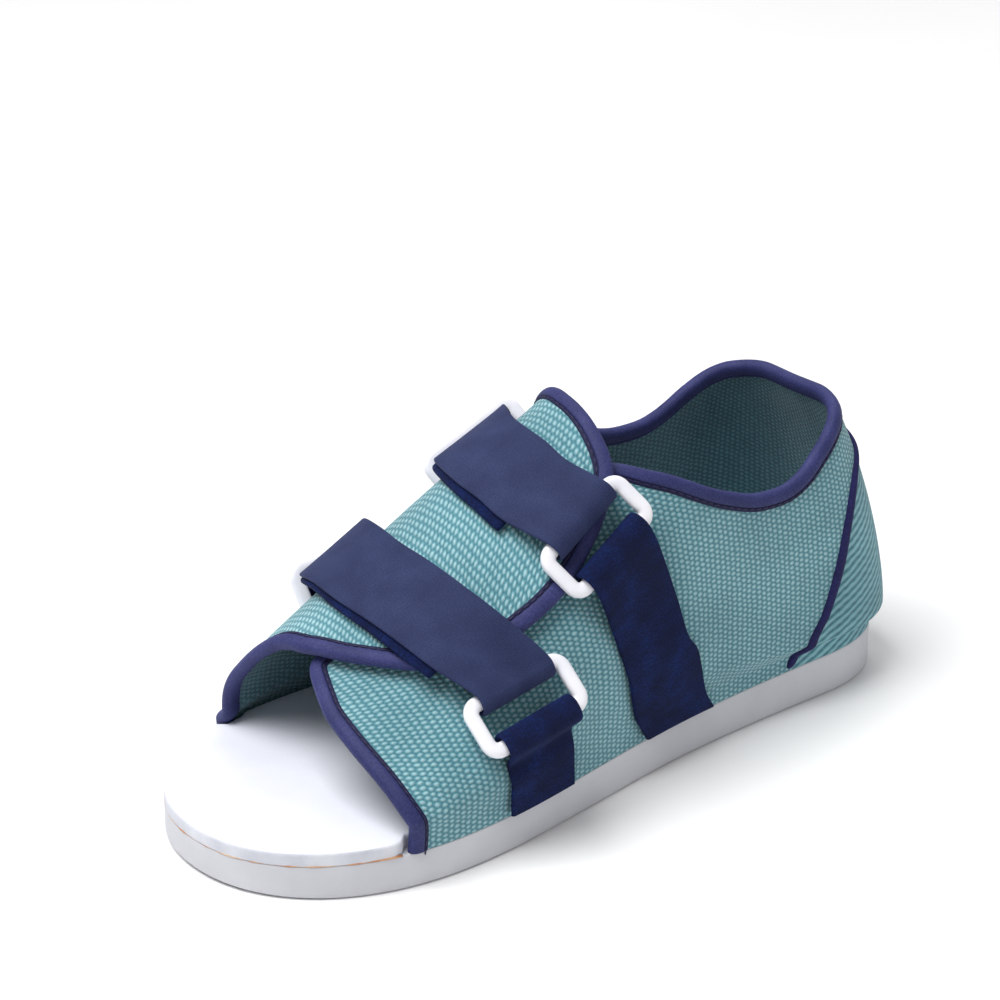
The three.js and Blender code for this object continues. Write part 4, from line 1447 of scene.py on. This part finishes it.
def stitch_tree(material: bpy.types.Material) -> bpy.types.NodeTree:
    """Return the node tree that lays stitches along a line.

    Args:
        material: Finish of the thread.
    """
    tree = bpy.data.node_groups.new("stitches_along_a_seam", "GeometryNodeTree")
    tree.interface.new_socket("Geometry", in_out="INPUT", socket_type="NodeSocketGeometry")
    for name in ("Pitch", "Length", "Radius"):
        tree.interface.new_socket(name, in_out="INPUT", socket_type="NodeSocketFloat")
    tree.interface.new_socket("Geometry", in_out="OUTPUT", socket_type="NodeSocketGeometry")
    given = add_node(tree, "NodeGroupInput")
    line = add_node(tree, "GeometryNodeMeshToCurve", inputs={"Mesh": given.outputs["Geometry"]})
    spaced = add_node(
        tree,
        "GeometryNodeResampleCurve",
        {"mode": "LENGTH"},
        {"Curve": line.outputs[0], "Length": given.outputs["Pitch"]},
    )
    tangent = add_node(tree, "GeometryNodeInputTangent")
    turned = add_node(
        tree, "FunctionNodeAlignRotationToVector", {"axis": "Z"}, {"Vector": tangent.outputs[0]}
    )
    stitch = add_node(
        tree, "GeometryNodeMeshUVSphere", inputs={"Segments": 6, "Rings": 5, "Radius": 1.0}
    )
    half = add_node(tree, "ShaderNodeMath", {"operation": "MULTIPLY"}, {0: given.outputs["Length"], 1: 0.5})
    size = add_node(
        tree,
        "ShaderNodeCombineXYZ",
        inputs={0: given.outputs["Radius"], 1: given.outputs["Radius"], 2: half.outputs[0]},
    )
    placed = add_node(
        tree,
        "GeometryNodeInstanceOnPoints",
        inputs={
            "Points": spaced.outputs[0],
            "Instance": stitch.outputs[0],
            "Rotation": turned.outputs[0],
            "Scale": size.outputs[0],
        },
    )
    real = add_node(tree, "GeometryNodeRealizeInstances", inputs={0: placed.outputs[0]})
    dressed = add_node(
        tree, "GeometryNodeSetMaterial", inputs={"Geometry": real.outputs[0], "Material": material}
    )
    add_node(tree, "NodeGroupOutput", inputs={0: dressed.outputs[0]})
    return tree


def stitch_line(name: str, line: Points, pitch: float, length: float, radius: float) -> bpy.types.Object:
    """Return a row of stitches along a line of points.

    Args:
        name: The piece's name.
        line: The seam's points in the part's frame, in millimetres.
        pitch: Distance from stitch to stitch.
        length: Length of a stitch.
        radius: Thickness of the thread, halved.
    """
    mesh = bpy.data.meshes.new(name)
    edges = [(i, i + 1) for i in range(len(line) - 1)]
    mesh.from_pydata((line * MM + SHIFT).tolist(), edges, [])
    seam = bpy.data.objects.new(name, mesh)
    bpy.context.scene.collection.objects.link(seam)
    thread = THREAD.material()
    modifier = seam.modifiers.new("stitches", "NODES")
    modifier.node_group = stitch_tree(thread)
    sizes = {"Pitch": pitch * MM, "Length": length * MM, "Radius": radius * MM}
    for item in modifier.node_group.interface.items_tree:
        if item.in_out == "INPUT" and item.name in sizes:
            modifier[item.identifier] = sizes[item.name]
    seam.update_tag()
    graph = bpy.context.evaluated_depsgraph_get()
    finished = bpy.data.meshes.new_from_object(seam.evaluated_get(graph), depsgraph=graph)
    seam.modifiers.clear()
    seam.data = finished
    finished.name = f"{name}_mesh"
    if not finished.materials:
        finished.materials.append(thread)
    finished.polygons.foreach_set("use_smooth", [True] * len(finished.polygons))
    log.info("%s: %d faces", name, len(finished.polygons))
    return seam


@dataclass
class Piping:
    """The rolled piping over a seam of the heel panel.

    Attributes:
        last: The last it is drawn over.
        width: Its width at the sole.
        narrow: Its width at the top, as a share of the width at the sole.
        height: Half its thickness.
        lift: Height of its middle over the mesh.
        crowding: How much its steps crowd towards the top.
        end_sharpness: How late each end closes in.
        end_share: Least share of the section left at an end.
        steps: Steps along it.
        around: Points round it.
    """

    last: Last
    width: float = 4.2
    narrow: float = 0.7
    height: float = 1.25
    lift: float = 0.2
    crowding: float = 0.8
    end_sharpness: int = 24
    end_share: float = 0.02
    steps: int = 110
    around: int = 20

    def make(self, mirrored: bool) -> None:
        """Build one piping and dress it.

        Args:
            mirrored: True on the inner side of the shoe.
        """
        part = np.linspace(0, 1, self.steps)[:, None]
        turns = np.linspace(0, 2 * np.pi, self.around, endpoint=False)[None, :]
        around = mix(PIPING_LINE.keys[0], PIPING_LINE.keys[-1], part ** self.crowding)
        width = self.width * mix(1.0, self.narrow, part)
        ends = np.sqrt(np.clip(1 - (2 * part - 1) ** self.end_sharpness, self.end_share, 1))
        run = PIPING_LINE.at(around, "run") + width / 2 * np.cos(turns) * ends
        lift = self.lift + self.height * np.sin(turns) * ends
        around = around + np.zeros_like(run)
        start = self.last.heel_start
        side_around = INNER_SIDE - around if mirrored else around
        on_side = self.last.on_side(start + np.minimum(run, 0), side_around, lift)
        turn = np.degrees(np.maximum(run, 0) / (self.last.heel_width / 2))
        on_heel = self.last.on_heel(INNER_SIDE - turn if mirrored else turn, around, lift)
        loops = np.where((run > 0)[..., None], on_heel, on_side)
        run = np.concatenate([[0], np.cumsum(np.linalg.norm(np.diff(loops.mean(axis=1), axis=0), axis=1))])
        cloth = np.stack(np.broadcast_arrays(np.degrees(turns) / 60, run[:, None]), -1)
        name = "inner" if mirrored else "outer"
        piece = tube_shell(loops, cloth).object(f"heel_piping_{name}", [SHADED_PIPING_TAPE.material()])
        dress(piece, "binding", f"piping_{name}")


# The straps and their rings


class Route:
    """A strap's middle line round the last, followed by distance from one of its places."""

    square_from = 50.0

    def __init__(self, last: Last, line: Table, start: float) -> None:
        """Measure the line.

        Args:
            last: The last it runs over.
            line: Share of the length at each angle.
            start: Angle of the place that distances count from.
        """
        self.last = last
        self.line = line
        self.angles = np.linspace(1 - FOOT_ANGLE, INNER_SIDE + FOOT_ANGLE - 1, 361)
        points = self.place(self.angles)
        steps = np.linalg.norm(np.diff(points, axis=0), axis=1)
        self.distances = np.concatenate([[0], np.cumsum(steps)])
        self.distances -= np.interp(start, self.angles, self.distances)

    def place(self, around: Any) -> Points:
        """Return the line's point of the last at an angle."""
        return self.last.side_point(self.last.length_at(self.line.at(around, "share")), around)

    def distance_to(self, around: float) -> float:
        """Return the distance along the line of an angle."""
        return float(np.interp(around, self.angles, self.distances))

    def at(self, distance: float, across: Any, lift: Any) -> Points:
        """Return points beside the line.

        Args:
            distance: Distance along the line.
            across: Distances across it toward the heel.
            lift: Height over the last.
        """
        across = np.atleast_1d(np.asarray(across, float))
        around = np.interp(distance, self.distances, self.angles)
        y = self.last.length_at(self.line.at(around, "share"))
        surface = self.last.side_point
        along = unit(self.place(around + 1) - self.place(around - 1))
        per_y = surface(y + SMALL, around) - surface(y - SMALL, around)
        per_angle = surface(y, around + SMALL) - surface(y, around - SMALL)
        heelward = unit(np.cross(unit(np.cross(per_y, per_angle)), along))
        heelward = -heelward if heelward[1] < 0 else heelward
        heel_y, heel_angle = steps_for(surface, y, around, heelward)
        along_y, along_angle = steps_for(surface, y, around, along)
        from_sole = min(around, INNER_SIDE - around) + FOOT_ANGLE
        square = ease(from_sole, 0, self.square_from)
        level_y = heel_y - heel_angle * along_y / along_angle
        step_y = mix(level_y, heel_y, square)
        lifts = np.broadcast_to(np.asarray(lift, float), across.shape)
        return self.last.on_side(y + across * step_y, around + across * heel_angle * square, lifts)


@dataclass
class RingFrame:
    """A ring's own directions: short runs from its lower bar to its upper bar, through is its axis."""

    origin: Points
    across: Points
    short: Points
    through: Points

    @classmethod
    def on(cls, way: Route, distance: float, lift: float, turn: float) -> "RingFrame":
        """Return the frame at a place of a route.

        Args:
            way: The strap's route.
            distance: Place along it.
            lift: Height over the last.
            turn: Angle by which the ring stands up from the last, in degrees.
        """
        origin = way.at(distance, 0, lift)[0]
        pair = way.at(distance, [1, -1], lift)
        across = unit(pair[0] - pair[1])
        along = way.at(distance + 1, 0, lift)[0] - way.at(distance - 1, 0, lift)[0]
        along = unit(along - across * dot(along, across))
        away = unit(np.cross(across, along))
        away = -away if dot(away, way.at(distance, 0, lift + 1)[0] - origin) < 0 else away
        t = math.radians(turn)
        short = along * math.cos(t) + away * math.sin(t)
        through = away * math.cos(t) - along * math.sin(t)
        return cls(origin, across, short, through)

    def at(self, x: Any, z: Any, w: Any) -> Points:
        """Return points by their distances along short, through and across."""
        x, z, w = np.broadcast_arrays(*(np.atleast_1d(np.asarray(v, float)) for v in (x, z, w)))
        offset = x[..., None] * self.short
        return self.origin + offset + z[..., None] * self.through + w[..., None] * self.across


@dataclass
class LoopRing:
    """A moulded ring of rounded bars.

    Attributes:
        long: Its outer length.
        short: Its outer width.
        bar: Width of its bars.
        thickness: Thickness of its bars.
        corner: Outer radius of its corners.
        fullness: Power of the bars' rounded section.
    """

    long: float = 41.0
    short: float = 21.0
    bar: float = 5.0
    thickness: float = 3.6
    corner: float = 6.0
    fullness: float = 2.5
    corner_steps: int = 14
    side_steps: int = 10
    section_steps: int = 28

    def shell(self, at: RingFrame) -> Shell:
        """Return the ring's surface in its place."""
        x, y = (self.long - self.bar) / 2, (self.short - self.bar) / 2
        radius = self.corner - self.bar / 2
        path, out = [], []
        for quarter, (sx, sy) in enumerate(((1, 1), (-1, 1), (-1, -1), (1, -1))):
            turns = np.radians(90 * quarter + np.linspace(0, 90, self.corner_steps))
            direction = np.stack([np.cos(turns), np.sin(turns)], -1)
            path.append(np.array([sx * (x - radius), sy * (y - radius)]) + radius * direction)
            out.append(direction)
            ahead = ((-1, 1), (-1, -1), (1, -1), (1, 1))[quarter]
            end = path[-1][-1]
            goal = np.array([ahead[0] * (x - radius), ahead[1] * (y - radius)]) + radius * direction[-1]
            parts = np.linspace(0, 1, self.side_steps + 2)[1:-1, None]
            path.append(mix(end, goal, parts))
            out.append(np.repeat(direction[-1:], self.side_steps, 0))
        path, out = np.concatenate(path), np.concatenate(out)
        phi = np.linspace(0, 2 * np.pi, self.section_steps, endpoint=False)
        power = 2 / self.fullness
        wide = self.bar / 2 * np.sign(np.cos(phi)) * np.abs(np.cos(phi)) ** power
        high = self.thickness / 2 * np.sign(np.sin(phi)) * np.abs(np.sin(phi)) ** power
        flat = path[:, None] + out[:, None] * wide[None, :, None]
        loops = at.at(flat[..., 1], np.broadcast_to(high, flat.shape[:2]), flat[..., 0])
        return ring_shell(loops)


@dataclass
class Strap:
    """One closing strap: two plush loops with their rings, and the hook tape that joins them.

    Attributes:
        last: The last it runs over.
        name: Name of the strap.
        line: Its middle line, a share of the length at each angle.
        outer_ring: Angle, lift and tilt of the outer ring.
        inner_ring: Angle, lift and lean of the inner ring.
        ride: Heights of the tapes between the rings, by share of the way.
    """

    last: Last
    name: str
    line: Table
    outer_ring: tuple[float, float, float]
    inner_ring: tuple[float, float, float]
    ride: Table
    ring: LoopRing = field(default_factory=LoopRing)
    width: float = 28.5
    hook: float = 1.2
    pile: float = 2.0
    plush: float = 1.6
    shift: float = 3.0
    shift_end: float = 1.0
    gap: float = 0.3
    curl_room: float = 0.85
    plush_rest: float = 1.2
    curl_turns: tuple[float, ...] = (-110, -65, -20, 25, 70)
    outer_fold: float = 115.0
    plush_fold: float = 145.0
    plush_parts: tuple[float, ...] = (0.42, 0.6, 0.78, 0.9, 1.0)
    inner_curl: tuple[tuple[float, float], ...] = (
        (-1, -0.5),
        (-0.8, 0.7),
        (0, 0.95),
        (0.75, 0.7),
        (1, 0),
        (0.7, -0.8),
    )
    ride_controls: int = 6
    ring_pass: float = 5.0
    sole_room: float = 3.0
    descent: tuple[tuple[float, float], ...] = ((0.36, 4), (0.6, 0.9), (0.8, 0.6), (0.97, 0.6))
    steps: int = 9
    across_steps: int = 13
    edge_steps: int = 5

    def section(self, thickness: float) -> Points:
        """Return a tape's rounded outline: distances across it and heights."""
        radius = thickness / 2
        flat = self.width / 2 - radius
        turns = np.radians(np.linspace(90, -90, self.edge_steps + 2)[1:-1])
        heelward = np.stack([flat + radius * np.cos(turns), radius * np.sin(turns)], -1)
        across = np.linspace(-flat, flat, self.across_steps)
        top = np.stack([across, np.full_like(across, radius)], -1)
        return np.concatenate([top, heelward, -top, -heelward])

    def tape(
        self,
        controls: Sequence[Place],
        thickness: float,
        offset: float = 0.0,
        shifts: Points | None = None,
        skip: int = 0,
    ) -> Shell:
        """Return a tape along smooth lines through its controls.

        Args:
            controls: For each control, a function from distances across the tape to points.
            thickness: Its thickness.
            offset: Height of its middle over the controls.
            shifts: How far each control is moved across.
            skip: Number of controls that it starts after.
        """
        outline = self.section(thickness)
        moves = np.zeros(len(controls)) if shifts is None else shifts
        across, heights = outline[:, 0], outline[:, 1]
        rows = smooth_line(np.array([c(across + m) for c, m in zip(controls, moves)]), self.steps)
        aside = smooth_line(np.array([c(across + m + 1.0) for c, m in zip(controls, moves)]), self.steps)
        normal = unit(np.cross(aside - rows, np.gradient(rows, axis=0)))
        loops = rows + normal * (heights + offset)[None, :, None]
        loops = loops[self.steps * skip :]
        middle = loops.mean(axis=1)
        run = np.concatenate([[0], np.cumsum(np.linalg.norm(np.diff(middle, axis=0), axis=1))])
        cloth = np.stack(np.broadcast_arrays(across[None, :], run[:, None]), -1)
        return tube_shell(loops, cloth)

    def make(self) -> None:
        """Build the strap's pieces and dress them."""
        ring = self.ring
        way = Route(self.last, self.line, self.outer_ring[0])
        inner = way.distance_to(self.inner_ring[0])
        sole_outer = way.distance_to(self.sole_room - FOOT_ANGLE)
        sole_inner = way.distance_to(INNER_SIDE + FOOT_ANGLE - self.sole_room)
        outer_frame = RingFrame.on(way, 0.0, self.outer_ring[1], self.outer_ring[2])
        inner_frame = RingFrame.on(way, inner, self.inner_ring[1], CREST + self.inner_ring[2])
        bar_at = (ring.short - ring.bar) / 2
        middle = self.plush_rest + self.plush / 2
        hook_rest = self.plush_rest + self.plush + self.gap + self.pile + self.gap + self.hook / 2

        def on(distance: float, lift: float) -> Place:
            """Return a control that lies over the last."""
            return lambda w: way.at(distance, w, lift)

        def in_ring(x: float, z: float) -> Place:
            """Return a control placed from the inner ring."""
            return lambda w: inner_frame.at(x, z, w)

        def curl(bar: float, thickness: float, toward: int, last_turn: float) -> list[Place]:
            """Return the controls of a tape folded round a bar of the outer ring."""
            wide = ring.bar / 2 + self.curl_room + thickness / 2
            high = ring.thickness / 2 + self.curl_room + thickness / 2
            out = []
            for turn in (*self.curl_turns, last_turn):
                x = bar + toward * wide * math.cos(math.radians(turn))
                z = high * math.sin(math.radians(turn))
                out.append(lambda w, x=x, z=z: outer_frame.at(x, z, w))
            return out

        plush = LOOP_PLUSH.material()
        outer_plush = curl(-bar_at, self.plush, 1, self.plush_fold)
        outer_plush += [on(sole_outer * part, middle) for part in self.plush_parts]
        shell = self.tape(outer_plush, self.plush)
        dress(shell.object(f"plush_loop_{self.name}_outer", [plush]), "plush", f"plush_{self.name}_outer")

        fold = curl(bar_at, self.hook, -1, self.outer_fold)
        spans = np.linspace(self.ride.keys[0], self.ride.keys[-1], self.ride_controls)
        bundle = fold + [on(inner * span, float(self.ride.at(span, "lift"))) for span in spans]
        bundle += [in_ring(ring.bar / 2 + 1, z) for z in (self.ring_pass, 0.0, -self.ring_pass)]
        bundle += [on(mix(inner, sole_inner, part), hook_rest + rise) for part, rise in self.descent]
        shell = self.tape(bundle, self.hook)
        piece = shell.object(f"hook_tape_back_{self.name}", [HOOK_TAPE.material()])
        dress(piece, "hook", f"hook_tape_{self.name}")

        place = np.arange(len(bundle))
        shifts = mix(-self.shift, -self.shift_end, ease(place, len(fold), len(fold) + self.ride_controls))
        offset = -self.hook / 2 - self.gap - self.pile / 2
        shell = self.tape(bundle, self.pile, offset, shifts, len(fold))
        dress(shell.object(f"pile_lining_{self.name}", [plush]), "plush", f"pile_tape_{self.name}")

        round_bar = ring.bar / 2 + self.curl_room + self.plush / 2
        inner_plush = [in_ring(x * round_bar - bar_at, z * round_bar) for x, z in self.inner_curl]
        inner_plush += [on(mix(inner, sole_inner, part), middle) for part in self.plush_parts]
        shell = self.tape(inner_plush, self.plush)
        dress(shell.object(f"plush_loop_{self.name}_inner", [plush]), "plush", f"plush_{self.name}_inner")

        white = ACETAL.material()
        for side, at in (("outer", outer_frame), ("inner", inner_frame)):
            piece = ring.shell(at).object(f"loop_ring_{self.name}_{side}", [white])
            dress(piece, "ring", f"ring_{self.name}_{side}")


def front_strap(last: Last) -> Strap:
    """Return the strap over the ball."""
    line = [
        (-30, 0.352),
        (0, 0.35),
        (24, 0.3385),
        (45, 0.318),
        (64, 0.303),
        (86, 0.296),
        (112, 0.309),
        (140, 0.34),
        (161, 0.379),
        (210, 0.396),
    ]
    ride = Table(("span", "lift"), [(0.2, 9.6), (0.33, 10), (0.5, 9.3), (0.75, 9.2)])
    return Strap(last, "front", Table(("around", "share"), line), (24.5, 5.2, -7), (161, 11.3, 43), ride)


def back_strap(last: Last) -> Strap:
    """Return the strap over the instep."""
    line = [
        (-30, 0.597),
        (0, 0.56),
        (25, 0.525),
        (46, 0.492),
        (56, 0.477),
        (72, 0.464),
        (90, 0.465),
        (110, 0.487),
        (130, 0.529),
        (142, 0.558),
        (165, 0.585),
        (210, 0.617),
    ]
    ride = Table(("span", "lift"), [(0.24, 9.8), (0.4, 9.4), (0.6, 9.1), (0.8, 9.9)])
    return Strap(last, "back", Table(("around", "share"), line), (47, 9.2, 8), (144, 13, 29), ride)


# The studio


@dataclass(frozen=True)
class Softbox:
    """One large soft light.

    Attributes:
        name: The light's name.
        azimuth: Its angle round the object, in degrees.
        elevation: Its angle above the horizon, in degrees.
        distance: Its distance in metres.
        size: Its side in metres.
        power: Its power in watts.
    """

    name: str
    azimuth: float
    elevation: float
    distance: float
    size: float
    power: float


@dataclass
class Studio:
    """Camera, lights and floor.

    Attributes:
        target: Point the camera looks at, in metres.
        azimuth: Angle round the object, in degrees.
        elevation: Angle above the horizon, in degrees.
        distance: Distance from the target, in metres.
        lens: Focal length on the sensor, in millimetres.
        floor_size: Side of the floor, in metres.
        world_light: Strength of the even white light from all round.
        softboxes: The large soft lights.
    """

    target: tuple[float, float, float] = (-0.021796, 0.003888, 0.07722)
    azimuth: float = 50.7
    elevation: float = 24.32
    distance: float = 1.17561
    lens: float = 127.95
    floor_size: float = 6.0
    world_light: float = 0.36
    softboxes: tuple[Softbox, ...] = (
        Softbox("key_softbox", azimuth=-15.0, elevation=68.0, distance=1.5, size=1.0, power=25.0),
        Softbox("fill_softbox", azimuth=95.0, elevation=35.0, distance=1.8, size=1.2, power=1.6),
        Softbox("rim_softbox", azimuth=-140.0, elevation=50.0, distance=1.6, size=0.8, power=5.0),
    )

    def direction(self, azimuth: float, elevation: float) -> Vector:
        """Return the direction from the object to a place round it."""
        a, e = math.radians(azimuth), math.radians(elevation)
        return Vector((math.sin(a) * math.cos(e), -math.cos(a) * math.cos(e), math.sin(e)))

    def camera(self) -> None:
        """Make the camera at the picture's viewing angle."""
        data = bpy.data.cameras.new("picture_camera")
        data.sensor_width = 36.0
        data.lens = self.lens
        data.clip_start = 0.05
        camera = bpy.data.objects.new("picture_camera", data)
        back = self.direction(self.azimuth, self.elevation)
        camera.location = Vector(self.target) + back * self.distance
        camera.rotation_mode = "QUATERNION"
        camera.rotation_quaternion = (-back).to_track_quat("-Z", "Y")
        bpy.context.scene.collection.objects.link(camera)
        bpy.context.scene.camera = camera

    def light(self, softbox: Softbox) -> None:
        """Make one large soft light.

        Args:
            softbox: Its name, place, size and power.
        """
        data = bpy.data.lights.new(softbox.name, "AREA")
        data.size = softbox.size
        data.energy = softbox.power
        light = bpy.data.objects.new(softbox.name, data)
        back = self.direction(softbox.azimuth, softbox.elevation)
        light.location = back * softbox.distance
        light.rotation_mode = "QUATERNION"
        light.rotation_quaternion = (-back).to_track_quat("-Z", "Y")
        bpy.context.scene.collection.objects.link(light)

    def make(self) -> None:
        """Make the camera, the lights and the floor."""
        self.camera()
        for softbox in self.softboxes:
            self.light(softbox)
        bpy.context.scene.view_settings.view_transform = "Standard"
        world = bpy.data.worlds.new("studio_white")
        world.use_nodes = True
        background = world.node_tree.nodes["Background"]
        background.inputs["Color"].default_value = (1.0, 1.0, 1.0, 1.0)
        background.inputs["Strength"].default_value = self.world_light
        bpy.context.scene.world = world
        half = self.floor_size / 2
        corners = [(-half, -half, 0), (half, -half, 0), (half, half, 0), (-half, half, 0)]
        mesh = bpy.data.meshes.new("studio_floor")
        mesh.from_pydata(corners, [], [(0, 1, 2, 3)])
        mesh.materials.append(PAPER.material())
        floor = bpy.data.objects.new("studio_floor", mesh)
        bpy.context.scene.collection.objects.link(floor)


def main() -> None:
    """Build the studio and the shoe."""
    logging.basicConfig(level=logging.INFO, format="%(name)s %(message)s")
    Studio().make()
    last = Last()
    Slab(last, "outsole", "outsole", 0.5, 1.6).make(SOLE_FOAM, SOLE_FOAM)
    Footbed(last, "footbed", "footbed", 1.0, 0.3).make(BED_EDGE, BED_TOP)
    GlueLine(last).make()
    straps = [front_strap(last), back_strap(last)]
    upper = Upper(last, straps=straps)
    stretches = upper.make()
    Binding(upper).make(stretches)
    for mirrored in (False, True):
        Piping(last).make(mirrored)
    for strap in straps:
        strap.make()


if __name__ == "__main__":
    main()
